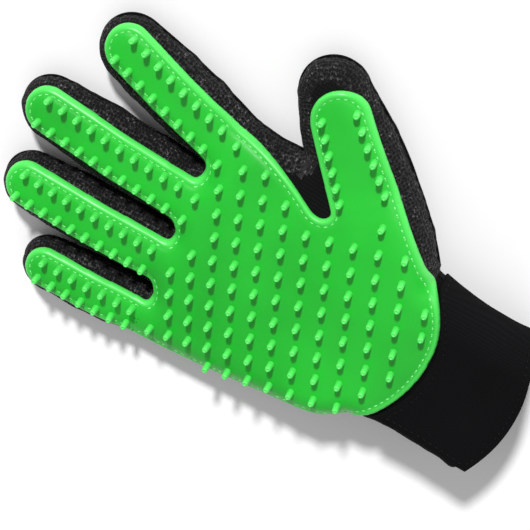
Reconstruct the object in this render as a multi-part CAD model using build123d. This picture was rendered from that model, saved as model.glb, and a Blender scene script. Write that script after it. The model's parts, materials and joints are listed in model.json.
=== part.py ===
from build123d import *

import math
import os
from dataclasses import dataclass

# A five-finger pet grooming glove for the right hand, lying on its back with the palm up.
#
# Frame: +Z up, +Y from the wrist to the fingertips, +X to the thumb. The origin is the centre of
# the glove's footprint, on the surface that it lies on. Millimetres.
#
# The glove is sewn from flat panels: a back panel, a palm face and side strips (fourchettes) round
# the hand and round each finger. A soft moulded pad with grooming nubs is sewn to the palm side. The
# wrist has a tube-shaped cuff, closed by a strap with a hook-and-loop patch. Each finger and the
# thumb fold at a crease in the pad, and the strap folds at its sewn root.

# Cloth, pad and stitches
FABRIC = 1.6  # thickness of each sewn panel
PAD = 2.0  # thickness of the moulded pad
NUB_HEIGHT = 5.5  # height of a nub above the pad
NUB_RADIUS = 1.4
NUB_TIP = 1.2  # radius at the tip
NUB_EDGE = 4.8  # least distance from a nub's centre to the pad's edge
NUB_CREASE = 4.3  # least distance from a nub's centre to a crease
SEAM_INSET = 2.6  # from the pad's edge to its line of stitches
THREAD_WIDTH = 0.7
THREAD_HEIGHT = 0.35
CLEAR = 0.3  # gap between pieces that move against each other
SLIT_DIP = 1.5  # depth of the rounded notch in the pad between two fingers

# Hand: the palm face slopes from the wrist down to the knuckles
WRIST_HEIGHT = 32.0
KNUCKLE_HEIGHT = 20.0
WRIST_Y = 46.0  # where the cuff meets the hand
KNUCKLE_Y = 150.0
FALL = (WRIST_HEIGHT - KNUCKLE_HEIGHT) / (KNUCKLE_Y - WRIST_Y)
FLOOR = (0.0, 0.0)  # a plane is (height at y = 0, rise per mm of y)
PALM_PLANE = (KNUCKLE_HEIGHT + FALL * KNUCKLE_Y, -FALL)

# Nubs on the palm stand on a skewed lattice
NUB_START = (10.4, 113.9)
NUB_ROW = (9.31, 4.08)
NUB_COLUMN = (3.45, -8.92)
NUB_SPREAD = (0.03, -0.08)  # added for each column step squared: the rows spread to the wrist
NUB_APART = 7.4  # least distance from a lattice point to a nub of a finger's rows
NUB_REACH = 12  # steps of the lattice tried each way

# Cuff, strap and the layers between them, measured outwards from the cuff
CUFF_WIDTH = 72.0
CUFF_CORNER = 14.0
CUFF_WALL = 2.0
SEAM_TAPE = 1.5  # thickness of the tape that joins the cuff to the hand
BINDING = 2.0  # length of the bound edge at the wrist
PATCH = 1.0  # thickness of the loop patch
STRAP_LIFT = 2.2  # from the cuff to the strap's inner face
STRAP = 2.0
STRAP_ROOT = 17.0  # height of the strap's sewn root on the thumb side
STRAP_END = -27.0  # x of the strap's free end
STRAP_OUT = 3.0  # the strap reaches this far past the cuff's edge
STRAP_TOP = 44.0
PATCH_SPAN = (-25.0, -5.0)  # x of the hook and loop patches
PATCH_RUN = (5.0, 29.0)  # y of the hook and loop patches
HEM = 2.6  # from the strap's edge to its stitches

REACH = 300.0  # larger than the glove


@dataclass(frozen=True)
class Digit:
    """A finger or the thumb, in its own frame: base on the crease, +y along the finger."""

    name: str
    x: float
    y: float
    heading: float  # degrees from +Y towards the thumb
    length: float
    width: float
    tip_height: float
    pad_length: float
    pad_width: float
    pad_offset: float  # from the finger's centre line to the pad's
    nub_rows: int
    root_rows: int  # rows that carry on into the palm
    nub_pitch: float
    nub_spread: float  # from the pad's centre line to each row of nubs

    @property
    def place(self):
        """Location that carries the finger's frame to the glove's layout."""
        return Location((self.x, self.y, 0), (0, 0, -self.heading))

    @property
    def root_height(self):
        """Height of the palm's face at the crease."""
        return PALM_PLANE[0] + PALM_PLANE[1] * self.y

    @property
    def rise(self):
        """Rise of the finger's face for each millimetre along it."""
        return (self.tip_height - self.root_height) / self.length

    def corner(self, side):
        """Layout point at one end of the crease: side is -1 away from the thumb, or 1."""
        turn = math.radians(self.heading)
        half = side * self.width / 2
        return (self.x + half * math.cos(turn), self.y - half * math.sin(turn))

    def pad_corner(self, side):
        """Layout point where the pad's edge crosses the crease."""
        turn = math.radians(self.heading)
        half = self.pad_offset + side * self.pad_width / 2
        return (self.x + half * math.cos(turn), self.y - half * math.sin(turn))

    def slab(self, low, high):
        """Solid between two heights, each (0, z) above the floor or (1, z) above the face."""
        if self.name == "thumb":
            face, place = PALM_PLANE, Location()
        else:
            face, place = (self.root_height, self.rise), self.place
        planes = [raised(face if on_face else FLOOR, z) for on_face, z in (low, high)]
        return slab(planes[0], planes[1], place)


LITTLE = Digit("little", -53.1, 142.5, -3.7, 58.0, 24.5, 17.0, 55.4, 18.4, -0.6, 7, 0, 7.1, 4.0)
RING = Digit("ring", -23.0, 147.1, -2.3, 76.5, 27.5, 17.5, 74.4, 20.4, 0, 10, 0, 6.85, 5.1)
MIDDLE = Digit("middle", 7.6, 150.6, 1.5, 80.0, 28.5, 17.5, 77.0, 20.8, 0, 10, 1, 7.05, 5.4)
INDEX = Digit("index", 37.3, 147.8, 15.3, 66.5, 28.5, 17.5, 63.8, 21.2, 0, 8, 1, 7.15, 5.5)
THUMB = Digit("thumb", 48.3, 85.8, 46.0, 58.5, 35.0, 20.0, 50.6, 28.0, 1.0, 6, 0, 6.85, 7.8)
FINGERS = (LITTLE, RING, MIDDLE, INDEX)
DIGITS = (*FINGERS, THUMB)


def raised(plane, height):
    """The plane moved up by a height."""
    return (plane[0] + height, plane[1])


def slab(low, high, place=Location()):
    """Solid between two sloped planes, far wider than the glove."""
    ends = (-REACH, REACH)
    corners = [(y, low[0] + low[1] * y) for y in ends]
    corners += [(y, high[0] + high[1] * y) for y in reversed(ends)]
    return place * extrude(Plane.YZ * Polygon(*corners, align=None), REACH, both=True)


def prism(sketch):
    """A sketch as a tall column, to be cut by a slab."""
    return extrude(sketch, REACH)


def block(x, y):
    """Flat rectangle from (low, high) in x and in y."""
    size = (x[1] - x[0], y[1] - y[0])
    return Pos((x[0] + x[1]) / 2, (y[0] + y[1]) / 2) * Rectangle(*size)


# Outlines seen from above ----------------------------------------------------------------------


def round_tip(width, length, back=0.0):
    """Strip with one round end, from y = -back to y = length."""
    straight = length - width / 2
    return block((-width / 2, width / 2), (-back, straight)) + Pos(0, straight) * Circle(width / 2)


def hand_edges():
    """Edges of the hand's outline by name, in order round it."""
    wrist = (CUFF_WIDTH / 2, WRIST_Y + SEAM_TAPE)
    corners = [f.corner(side) for f in FINGERS for side in (-1, 1)]
    ulnar = ThreePointArc((-wrist[0], wrist[1]), (-52.5, 84), corners[0])
    front = [Line(a, b) for a, b in zip(corners, corners[1:])]
    radial = Line(corners[-1], THUMB.corner(-1))
    crease = Line(THUMB.corner(-1), THUMB.corner(1))
    gusset = ThreePointArc(THUMB.corner(1), (50.5, 58), wrist)
    back = Line(wrist, (-wrist[0], wrist[1]))
    return {
        "ulnar": [ulnar],
        "webs": front[1::2],
        "openings": front[0::2] + [crease, back],
        "radial": [radial],
        "gusset": [gusset],
    }


def hand_outline():
    """The hand's outline as a face, without the fingers."""
    return make_face(Wire([e for group in hand_edges().values() for e in edges_of(group)]))


def edges_of(lines):
    """The edges of a list of lines."""
    return [edge for line in lines for edge in line.edges()]


def pad_outline():
    """The palm's share of the pad, up to the creases."""
    corners = [f.pad_corner(side) for f in FINGERS for side in (-1, 1)]
    thumb_in, thumb_out = THUMB.pad_corner(-1), THUMB.pad_corner(1)
    heel, low, side = (45.0, 53.0), (8.0, 30.7), (-42.0, 53.0)
    neck, notch = (44.8, 128.4), (35.4, 104.5)
    lines = []
    for number, (start, end) in enumerate(zip(corners, corners[1:])):
        dip = ((start[0] + end[0]) / 2, (start[1] + end[1]) / 2 - SLIT_DIP)
        lines.append(ThreePointArc(start, dip, end) if number % 2 else Line(start, end))
    lines.append(ThreePointArc(corners[-1], neck, notch))
    lines.append(ThreePointArc(notch, (37.0, 98.6), thumb_in))
    lines += [Line(thumb_in, thumb_out), Line(thumb_out, heel)]
    lines.append(ThreePointArc(heel, (30.0, 38.0), low))
    lines.append(ThreePointArc(low, (-20.0, 35.2), side))
    lines.append(ThreePointArc(side, (-55.0, 96.0), corners[0]))
    return make_face(Wire(edges_of(lines)))


def digit_pad(digit, inset=0.0, back=0.0):
    """Outline of a finger's share of the pad in the layout, drawn in by an inset."""
    strip = round_tip(digit.pad_width - 2 * inset, digit.pad_length - inset, back)
    return digit.place * (Pos(digit.pad_offset, 0) * strip)


def beyond(digit, gap):
    """Everything past a digit's crease, as a flat region."""
    half = 0.6 * digit.width
    return digit.place * block((-half, half), (gap, digit.length * 2))


# Pieces ----------------------------------------------------------------------------------------


def nub(x, y, floor):
    """One nub: a slightly tapered column standing on a surface at a height."""
    foot = (Align.CENTER, Align.CENTER, Align.MIN)
    return Pos(x, y, floor + PAD / 2) * Cone(NUB_RADIUS, NUB_TIP, NUB_HEIGHT + PAD / 2, align=foot)


def with_nubs(plate, nubs):
    """A pad plate and its nubs as one moulded solid."""
    return plate.fuse(*nubs) if nubs else plate


def pair(digit, along):
    """The two places in the layout where a finger's row has its nubs."""
    offsets = [digit.pad_offset + side * digit.nub_spread for side in (-1, 1)]
    spots = [(digit.place * Pos(offset, along)).position for offset in offsets]
    return [(spot.X, spot.Y) for spot in spots]


def digit_nubs(digit):
    """Two columns of nubs along a finger, in the layout."""
    nubs = []
    for row in range(digit.nub_rows):
        along = NUB_CREASE + row * digit.nub_pitch
        for x, y in pair(digit, along):
            floor = PALM_PLANE[0] + PALM_PLANE[1] * y
            if digit is not THUMB:
                floor = digit.root_height + digit.rise * along
            nubs.append(nub(x, y, floor))
    return nubs


def palm_nubs(outline):
    """Nubs on the palm: the fingers' last rows, then lattice points well inside the pad."""
    face = outline.faces()[0]
    creases = [Line(d.corner(-1), d.corner(1)) for d in DIGITS]
    spots = []
    for digit in DIGITS:
        for row in range(digit.root_rows):
            spots += pair(digit, -NUB_CREASE - row * digit.nub_pitch)
    roots = list(spots)
    steps = range(-NUB_REACH, NUB_REACH + 1)
    for i, j in [(i, j) for i in steps for j in steps]:
        x = NUB_START[0] + i * NUB_ROW[0] + j * NUB_COLUMN[0] + j * j * NUB_SPREAD[0]
        y = NUB_START[1] + i * NUB_ROW[1] + j * NUB_COLUMN[1] + j * j * NUB_SPREAD[1]
        spot = Vector(x, y, 0)
        if not face.is_inside(spot) or face.outer_wire().distance_to(spot) < NUB_EDGE:
            continue
        if min(line.distance_to(spot) for line in creases) < NUB_CREASE:
            continue
        if all(math.dist((x, y), root) > NUB_APART for root in roots):
            spots.append((x, y))
    return [nub(x, y, PALM_PLANE[0] + PALM_PLANE[1] * max(y, WRIST_Y)) for x, y in spots]


def seam(outline, layer):
    """The line of thread that follows a pad's edge."""
    outer = prism(offset(outline, -SEAM_INSET))
    inner = prism(offset(outline, -SEAM_INSET - THREAD_WIDTH))
    return (outer - inner) & layer


def digit_parts(digit):
    """The six pieces of a finger or thumb, in the layout."""
    zone = prism(beyond(digit, CLEAR))
    full = prism(digit.place * round_tip(digit.width, digit.length)) & zone
    hollow = prism(digit.place * round_tip(digit.width - 2 * FABRIC, digit.length - FABRIC, 1.0))
    wall = (full - hollow) & digit.slab((0, FABRIC), (1, -FABRIC))
    half = digit.place * Box(REACH, REACH, REACH, align=(Align.MIN, Align.CENTER, Align.CENTER))
    plate = prism(digit_pad(digit)) & zone & digit.slab((1, 0), (1, PAD))
    thread = seam(digit_pad(digit, back=digit.width), digit.slab((1, PAD), (1, PAD + THREAD_HEIGHT)))
    return {
        f"{digit.name}_back": full & digit.slab((0, 0), (0, FABRIC)),
        f"{digit.name}_face": full & digit.slab((1, -FABRIC), (1, 0)),
        f"{digit.name}_side_radial": wall & half,
        f"{digit.name}_side_ulnar": wall - half,
        f"{digit.name}_pad": with_nubs(plate, digit_nubs(digit)),
        f"{digit.name}_pad_stitching": thread & zone,
    }


def palm_layer(low, high):
    """Layer on the palm's face, which turns level where it runs over the cuff."""
    knees = [(-REACH, WRIST_HEIGHT), (WRIST_Y, WRIST_HEIGHT)]
    knees.append((REACH, PALM_PLANE[0] + PALM_PLANE[1] * REACH))
    corners = [(y, z + low) for y, z in knees] + [(y, z + high) for y, z in reversed(knees)]
    return extrude(Plane.YZ * Polygon(*corners, align=None), REACH, both=True)


def hand_parts():
    """The panels of the hand, and the palm's share of the pad."""
    outline = hand_outline()
    walls = slab(raised(FLOOR, FABRIC), raised(PALM_PLANE, -FABRIC))
    edges = hand_edges()

    def side(name):
        strips = [prism(trace(line, 2 * FABRIC)) for line in edges[name]]
        return [strip & prism(outline) & walls for strip in strips]

    pad = pad_outline()
    plate = prism(pad) & palm_layer(0, PAD)
    whole = pad
    for digit in DIGITS:
        whole = whole + digit_pad(digit, back=CLEAR)
    threads = seam(whole, palm_layer(PAD, PAD + THREAD_HEIGHT))
    for digit in DIGITS:
        threads = threads - prism(beyond(digit, 0))
    threads = Compound(children=threads.solids())
    return {
        "palm_back": prism(outline) & slab(FLOOR, raised(FLOOR, FABRIC)),
        "palm_face": prism(outline) & slab(raised(PALM_PLANE, -FABRIC), PALM_PLANE),
        "palm_side_ulnar": side("ulnar")[0],
        "palm_side_radial": side("radial")[0],
        "thumb_gusset": side("gusset")[0],
        "finger_webs": Compound(children=side("webs")),
        "palm_pad": with_nubs(plate, palm_nubs(pad)),
        "palm_pad_stitching": threads,
    }


# Cuff and strap --------------------------------------------------------------------------------


def cuff_ring(inner, outer):
    """Section of a layer round the cuff, between two distances outwards from its surface."""
    rings = []
    for grow in (outer, inner):
        size = (CUFF_WIDTH + 2 * grow, WRIST_HEIGHT + 2 * grow)
        ring = RectangleRounded(*size, CUFF_CORNER + grow)
        rings.append(Plane.XZ * (Pos(0, WRIST_HEIGHT / 2) * ring))
    return rings[0] - rings[1]


def cuff_layer(inner, outer, y):
    """A layer round the whole cuff, over a stretch of y."""
    return Pos(0, y[1], 0) * extrude(cuff_ring(inner, outer), y[1] - y[0])


def column(x, y, z):
    """Solid block from (low, high) in each direction."""
    low, high = (x[0], y[0], z[0]), (x[1], y[1], z[1])
    size = [b - a for a, b in zip(low, high)]
    return Pos(*[(a + b) / 2 for a, b in zip(low, high)]) * Box(*size)


def cuff_parts():
    """The cuff's two halves, its bound edge, its joining tape and the loop patch."""
    tube = cuff_layer(-CUFF_WALL, 0, (0, WRIST_Y))
    middle = WRIST_HEIGHT / 2
    top = column((-REACH, REACH), (-REACH, REACH), (middle, REACH))
    frame = column(
        (-CUFF_WIDTH / 2, CUFF_WIDTH / 2), (WRIST_Y, WRIST_Y + SEAM_TAPE), (0, WRIST_HEIGHT)
    )
    hole = Plane.XZ * (
        Pos(0, middle)
        * RectangleRounded(
            CUFF_WIDTH - 2 * CUFF_WALL, WRIST_HEIGHT - 2 * CUFF_WALL, CUFF_CORNER - CUFF_WALL
        )
    )
    patch = column(PATCH_SPAN, PATCH_RUN, (middle, REACH))
    return {
        "cuff_front": tube & top,
        "cuff_back": tube - top,
        "cuff_binding": cuff_layer(-CUFF_WALL, 0, (-BINDING, 0)),
        "wrist_seam": (frame & slab(FLOOR, PALM_PLANE)) - Pos(0, REACH, 0) * extrude(hole, 2 * REACH),
        "loop_patch": cuff_layer(0, PATCH, PATCH_RUN) & patch,
    }


def strap_outline(inset):
    """Solid column that the strap fills, seen from above, drawn in by an inset."""
    reach_x = (STRAP_END + inset, REACH)
    reach_y = (-STRAP_OUT + inset, STRAP_TOP - inset)
    above = column(reach_x, reach_y, (STRAP_ROOT + inset, REACH))
    over_root = column((0, REACH), reach_y, (STRAP_ROOT + inset, REACH))
    tongue = extrude(offset(pad_outline(), 1.0 + inset), REACH)
    top_half = column((STRAP_END + inset, 0.0), reach_y, (WRIST_HEIGHT / 2, REACH))
    return ((above & over_root) + top_half) - tongue


def strap_parts():
    """The strap, its hook patch and its stitches."""
    run = (-STRAP_OUT, STRAP_TOP)
    band = cuff_layer(STRAP_LIFT, STRAP_LIFT + STRAP, run)
    line = cuff_layer(STRAP_LIFT + STRAP, STRAP_LIFT + STRAP + THREAD_HEIGHT, run)
    stitches = strap_outline(HEM) - strap_outline(HEM + THREAD_WIDTH)
    patch = column(PATCH_SPAN, PATCH_RUN, (WRIST_HEIGHT / 2, REACH))
    hooks = cuff_layer(PATCH + CLEAR, STRAP_LIFT, PATCH_RUN) & patch
    return {
        "strap": band & strap_outline(0),
        "hook_patch": hooks & strap_outline(0),
        "strap_stitching": line & stitches,
    }


def main():
    """Builds every piece, centres the glove on its footprint and writes one file for each."""
    parts = {**hand_parts(), **cuff_parts(), **strap_parts()}
    for digit in DIGITS:
        parts.update(digit_parts(digit))
    boxes = [shape.bounding_box() for shape in parts.values()]
    middle_x = (min(b.min.X for b in boxes) + max(b.max.X for b in boxes)) / 2
    middle_y = (min(b.min.Y for b in boxes) + max(b.max.Y for b in boxes)) / 2
    os.makedirs("parts", exist_ok=True)
    for name, shape in parts.items():
        export_step(Pos(-middle_x, -middle_y, 0) * shape, f"parts/{name}.step")
    print(f"layout to frame: {-middle_x:.4f}, {-middle_y:.4f}")
    return parts


main()
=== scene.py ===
"""Looks of a right-hand grooming glove that lies on its back with the palm up.

Sizes are in millimetres in the glove's cutting layout: x to the thumb, y from the wrist to the
fingertips, z up out of the palm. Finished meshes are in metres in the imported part's frame.
"""

import json
import logging
import math
from dataclasses import dataclass, field
from enum import Enum

import bpy
import numpy as np
from mathutils import Matrix, Vector, kdtree, noise


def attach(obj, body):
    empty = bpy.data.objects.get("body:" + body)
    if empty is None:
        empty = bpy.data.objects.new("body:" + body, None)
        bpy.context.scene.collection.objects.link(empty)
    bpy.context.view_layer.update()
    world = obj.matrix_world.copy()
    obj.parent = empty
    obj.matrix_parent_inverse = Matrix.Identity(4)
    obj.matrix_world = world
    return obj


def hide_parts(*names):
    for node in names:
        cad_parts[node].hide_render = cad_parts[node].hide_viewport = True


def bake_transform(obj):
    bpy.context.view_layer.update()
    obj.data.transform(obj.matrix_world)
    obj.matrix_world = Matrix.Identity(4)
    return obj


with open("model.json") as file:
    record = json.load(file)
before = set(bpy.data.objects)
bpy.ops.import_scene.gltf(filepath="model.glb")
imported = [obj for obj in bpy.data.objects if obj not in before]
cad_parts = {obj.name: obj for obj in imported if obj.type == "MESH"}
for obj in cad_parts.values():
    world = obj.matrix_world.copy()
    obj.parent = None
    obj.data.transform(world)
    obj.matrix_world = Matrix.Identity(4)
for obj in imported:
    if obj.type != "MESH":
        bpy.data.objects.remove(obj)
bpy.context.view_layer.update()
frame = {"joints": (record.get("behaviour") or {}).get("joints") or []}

LOG = logging.getLogger("glove")
MM = 0.001
NUB_CREASE = 4.3  # from a crease to the nearest nubs


class Layer(Enum):
    """Cloth panels of the glove, by where they lie on a finger or the hand."""

    BACK = "back"
    SIDE = "side"
    FACE = "face"


class Side(Enum):
    """The two sides of a finger."""

    ULNAR = -1
    RADIAL = 1


# Layout ----------------------------------------------------------------------------------------


@dataclass(frozen=True)
class Digit:
    """A finger or the thumb. Its crease is at (x, y) and it points heading degrees to the thumb."""

    name: str
    x: float
    y: float
    heading: float
    length: float
    width: float
    tip_height: float
    pad_length: float
    pad_width: float
    pad_offset: float
    rows: int
    root_rows: int
    pitch: float
    spread: float
    cloth_root: float
    cloth_tip: float
    cloth_length: float
    sway: float
    belly: float = 1.2
    pad_taper: float = 0.98
    pad_sway: float = 0.0
    splay: float = 0.0

    @property
    def sleeve(self) -> float:
        """Length of cloth past the crease that turns with it, longer on the wide thumb."""
        return 14.0 if self.cloth_root > 35 else 9.0

    @property
    def forward(self) -> np.ndarray:
        """Unit vector along the finger."""
        turn = math.radians(self.heading)
        return np.array([math.sin(turn), math.cos(turn)])

    @property
    def sideways(self) -> np.ndarray:
        """Unit vector across the finger, to the thumb side."""
        turn = math.radians(self.heading)
        return np.array([math.cos(turn), -math.sin(turn)])

    def local(self, xy: np.ndarray) -> tuple[np.ndarray, np.ndarray]:
        """Finger coordinates of layout points.

        Args:
            xy: Layout points, one per row.

        Returns:
            The distances across and along the finger.
        """
        away = xy - np.array([self.x, self.y])
        return away @ self.sideways, away @ self.forward

    def place(self, across: float, along: float) -> np.ndarray:
        """Layout point at a distance across and along the finger."""
        return np.array([self.x, self.y]) + across * self.sideways + along * self.forward

    def pad_edge(self) -> np.ndarray:
        """Outline of the finger's strip of pad, from its ulnar root round to its radial root."""
        tip = self.pad_width * self.pad_taper / 2
        straight = self.pad_length - tip
        turns = np.linspace(0, math.pi, 40)
        local = [(-self.pad_width / 2, 0.0)]
        local += [
            (self.pad_sway - tip * math.cos(t), straight + tip * math.sin(t)) for t in turns
        ]
        local += [(self.pad_width / 2, 0.0)]
        return np.array([self.place(self.pad_offset + a, b) for a, b in local])

    def nub_spot(self, row: int, side: Side) -> np.ndarray:
        """Layout place of a nub.

        Args:
            row: Number of its row, from the crease to the tip.
            side: Side of the finger.

        Returns:
            The place (x, y).
        """
        along = NUB_CREASE + row * self.pitch
        share = along / self.pad_length
        across = self.pad_offset + self.pad_sway * share
        spread = self.spread + self.splay * (0.5 - share)
        return self.place(across + side.value * spread, along)

    def cloth_edge(self, start: float = 0.0) -> np.ndarray:
        """Outline of the finger's cloth, from its ulnar root round to its radial root.

        Args:
            start: Distance from the crease at which the ulnar side begins.

        Returns:
            Layout points in order.
        """
        root, tip = self.cloth_root / 2, self.cloth_tip / 2
        straight = self.cloth_length - tip
        share = np.linspace(0, 1, 30)
        half = root + (tip - root) * share + self.belly * np.sin(math.pi * share)
        along, centre = straight * share, self.sway * share
        turns = np.linspace(0, math.pi, 42)[1:-1]
        ulnar = [(c - h, a) for c, h, a in zip(centre, half, along) if a >= start]
        end = [(self.sway - tip * math.cos(t), straight + tip * math.sin(t)) for t in turns]
        radial = [(c + h, a) for c, h, a in zip(centre, half, along)][::-1]
        return np.array([self.place(a, b) for a, b in ulnar + end + radial])


@dataclass(frozen=True)
class Layout:
    """The glove's digits and the outlines of its cloth and its pad."""

    digits: tuple[Digit, ...] = (
        Digit(
            "little", -53.1, 142.5, -3.7, 58.0, 24.5, 17.0, 55.4, 18.4, -0.6, 7, 0, 7.1, 4.0,
            cloth_root=24.5, cloth_tip=25.0, cloth_length=58.5, sway=-1.3,
        ),
        Digit(
            "ring", -23.0, 147.1, -2.3, 76.5, 27.5, 17.5, 74.4, 20.4, 0, 10, 0, 6.85, 5.1,
            cloth_root=27.5, cloth_tip=27.0, cloth_length=77.0, sway=-1.3,
        ),
        Digit(
            "middle", 7.6, 150.6, 1.5, 80.0, 28.5, 17.5, 77.0, 20.8, 0, 10, 1, 7.05, 5.4,
            cloth_root=28.5, cloth_tip=28.0, cloth_length=80.5, sway=-1.4,
        ),
        Digit(
            "index", 37.3, 147.8, 15.3, 66.5, 28.5, 17.5, 63.8, 21.2, 0, 8, 1, 7.15, 5.5,
            cloth_root=28.5, cloth_tip=29.5, cloth_length=67.0, sway=-1.8,
        ),
        Digit(
            "thumb", 48.3, 85.8, 46.0, 58.5, 35.0, 20.0, 48.4, 29.0, 1.0, 6, 0, 6.7, 7.9,
            cloth_root=42.0, cloth_tip=30.0, cloth_length=60.0, sway=-3.4, belly=1.6,
            pad_taper=0.86, pad_sway=-2.0, splay=3.4,
        ),
    )
    cuff_half: float = 36.0
    wrist_y: float = 46.0
    slit_dip: float = 1.5
    web_across: float = 19.5
    web_along: float = 24.0

    @property
    def shift(self) -> np.ndarray:
        """Offset from the layout to the frame, read from the middle finger's hinge."""
        middle = next(d for d in self.digits if d.name == "middle")
        hinge = next(j for j in frame["joints"] if j["name"] == "middle_curl")
        return np.array(hinge["pos_m"][:2]) / MM - np.array([middle.x, middle.y])

    @staticmethod
    def arc(start: tuple, via: tuple, end: tuple, count: int = 40) -> np.ndarray:
        """Points on the circle arc through three points.

        Args:
            start: First point.
            via: A point on the way.
            end: Last point.
            count: Number of points.

        Returns:
            The points in order.
        """
        a, b, c = (complex(*p) for p in (start, via, end))
        w = (c - a) / (b - a)
        centre = a - (a - b) * (w - abs(w) ** 2) / (2j * w.imag)
        angles = [math.atan2((p - centre).imag, (p - centre).real) for p in (a, b, c)]
        span = (angles[2] - angles[0]) % (2 * math.pi)
        if (angles[1] - angles[0]) % (2 * math.pi) > span:
            span -= 2 * math.pi
        steps = angles[0] + span * np.linspace(0, 1, count)
        ring = centre + abs(a - centre) * np.exp(1j * steps)
        return np.stack([ring.real, ring.imag], axis=1)

    @staticmethod
    def resample(points: np.ndarray, spacing: float, closed: bool, soften: float) -> np.ndarray:
        """Evenly spaced points on a polyline, with its corners rounded.

        Args:
            points: The polyline.
            spacing: Distance between points.
            closed: Whether the last point joins the first.
            soften: Length over which corners are rounded.

        Returns:
            The new polyline.
        """
        line = np.vstack([points, points[:1]]) if closed else points
        steps = np.hypot(*np.diff(line, axis=0).T)
        along = np.concatenate([[0], np.cumsum(steps)])
        count = int(along[-1] / spacing)
        at = np.linspace(0, along[-1], count, endpoint=not closed)
        out = np.stack([np.interp(at, along, line[:, k]) for k in (0, 1)], axis=1)
        for _ in range(int((soften / spacing) ** 2)):
            if closed:
                out = (np.roll(out, 1, 0) + 2 * out + np.roll(out, -1, 0)) / 4
            else:
                out[1:-1] = (out[:-2] + 2 * out[1:-1] + out[2:]) / 4
        return out

    def cloth_outline(self, spacing: float = 0.4) -> tuple[np.ndarray, np.ndarray]:
        """Open outline of the cloth, from the wrist's ulnar side round to its radial side.

        Args:
            spacing: Distance between points.

        Returns:
            The layout points, and for each the number of its digit, or -1 on the hand.
        """
        wrist, half = self.wrist_y, self.cuff_half
        little, thumb = self.digits[0], self.digits[-1]
        root = tuple(little.place(-little.cloth_root / 2, 0))
        heel = (-49.5, 68.0)
        runs = [np.array([(-half, -20.0)]), self.arc((-half, wrist), (-43.8, 54.0), heel)]
        runs.append(self.arc(heel, (-57.3, 100.0), root))
        owners = [-1] * 3
        for number, digit in enumerate(self.digits[:-1]):
            runs.append(digit.cloth_edge())
            owners.append(number)
        crotch = tuple(thumb.place(-self.web_across - 1.2, self.web_along))
        runs.append(self.arc(tuple(runs[-1][-1]), (49.3, 131.0), crotch, 20))
        runs.append(thumb.cloth_edge(self.web_along))
        runs.append(self.arc(tuple(runs[-1][-1]), (54.2, 60.4), (half + 2, wrist)))
        runs.append(np.array([(half, -20.0)]))
        owners += [-1, len(self.digits) - 1, -1, -1]
        raw = np.vstack(runs)
        labels = np.concatenate([[o] * len(r) for o, r in zip(owners, runs)])
        line = self.resample(raw, spacing, False, 1.3)
        gaps = np.hypot(*(line[:, None, :] - raw[None, :, :]).transpose(2, 0, 1))
        return line, labels[gaps.argmin(axis=1)]

    def pad_outline(self, spacing: float = 0.4) -> np.ndarray:
        """Closed outline of the moulded pad, in order from the little finger's root."""
        runs = []
        fingers, thumb = self.digits[:-1], self.digits[-1]
        for digit, after in zip(fingers, (*fingers[1:], None)):
            strip = digit.pad_edge()
            runs.append(strip)
            if after is not None:
                near = after.place(after.pad_offset - after.pad_width / 2, 0)
                dip = (strip[-1] + near) / 2 - np.array([0, self.slit_dip])
                runs.append(self.arc(tuple(strip[-1]), tuple(dip), tuple(near), 12))
        tip = thumb.pad_edge()
        notch = (34.9, 103.0)
        runs.append(self.arc(tuple(runs[-1][-1]), (44.6, 128.4), notch))
        runs.append(self.arc((34.6, 100.4), (35.8, 96.8), tuple(tip[0]), 16))
        runs.append(tip)
        runs.append(self.arc((40.6, 52.0), (29.4, 38.4), (8.0, 30.7)))
        runs.append(self.arc((8.0, 30.7), (-20.0, 35.2), (-42.0, 53.0)))
        runs.append(self.arc((-42.0, 53.0), (-55.0, 96.0), tuple(runs[0][0])))
        return self.resample(np.vstack(runs), spacing, True, 1.1)

    def sleeve_ends(self, digit: Digit) -> list[tuple]:
        """Frame points between which a digit's cloth turns from the hand to the digit."""
        ends = [digit.place(0, a) for a in (0.0, digit.sleeve)]
        return [tuple(self.to_frame(np.array([[*e, 10.0]]))[0]) for e in ends]

    def web_ends(self) -> list[tuple]:
        """Frame points between which the thumb's web turns from the hand to the thumb.

        The turn meets the thumb's sleeve along the web's inner side and stays with the hand at
        the crotch, so its direction is set by those two places.
        """
        thumb = self.digits[-1]
        slant = np.array([self.web_along / 4.5, 1.0]) / thumb.sleeve
        step = slant / (slant @ slant)
        ends = [(-self.web_across, 0.0), (-self.web_across + step[0], step[1])]
        return [tuple(self.to_frame(np.array([[*thumb.place(*e), 10.0]]))[0]) for e in ends]

    def to_frame(self, points: np.ndarray) -> np.ndarray:
        """Layout points (x, y, z) in millimetres as frame points in metres."""
        return (points + np.array([*self.shift, 0.0])) * MM

    def to_layout(self, points: np.ndarray) -> np.ndarray:
        """Frame points in metres as layout points in millimetres."""
        return points / MM - np.array([*self.shift, 0.0])


def ease(value: np.ndarray) -> np.ndarray:
    """Smooth step from 0 to 1 over the same range."""
    t = np.clip(value, 0, 1)
    return t * t * (3 - 2 * t)


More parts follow.
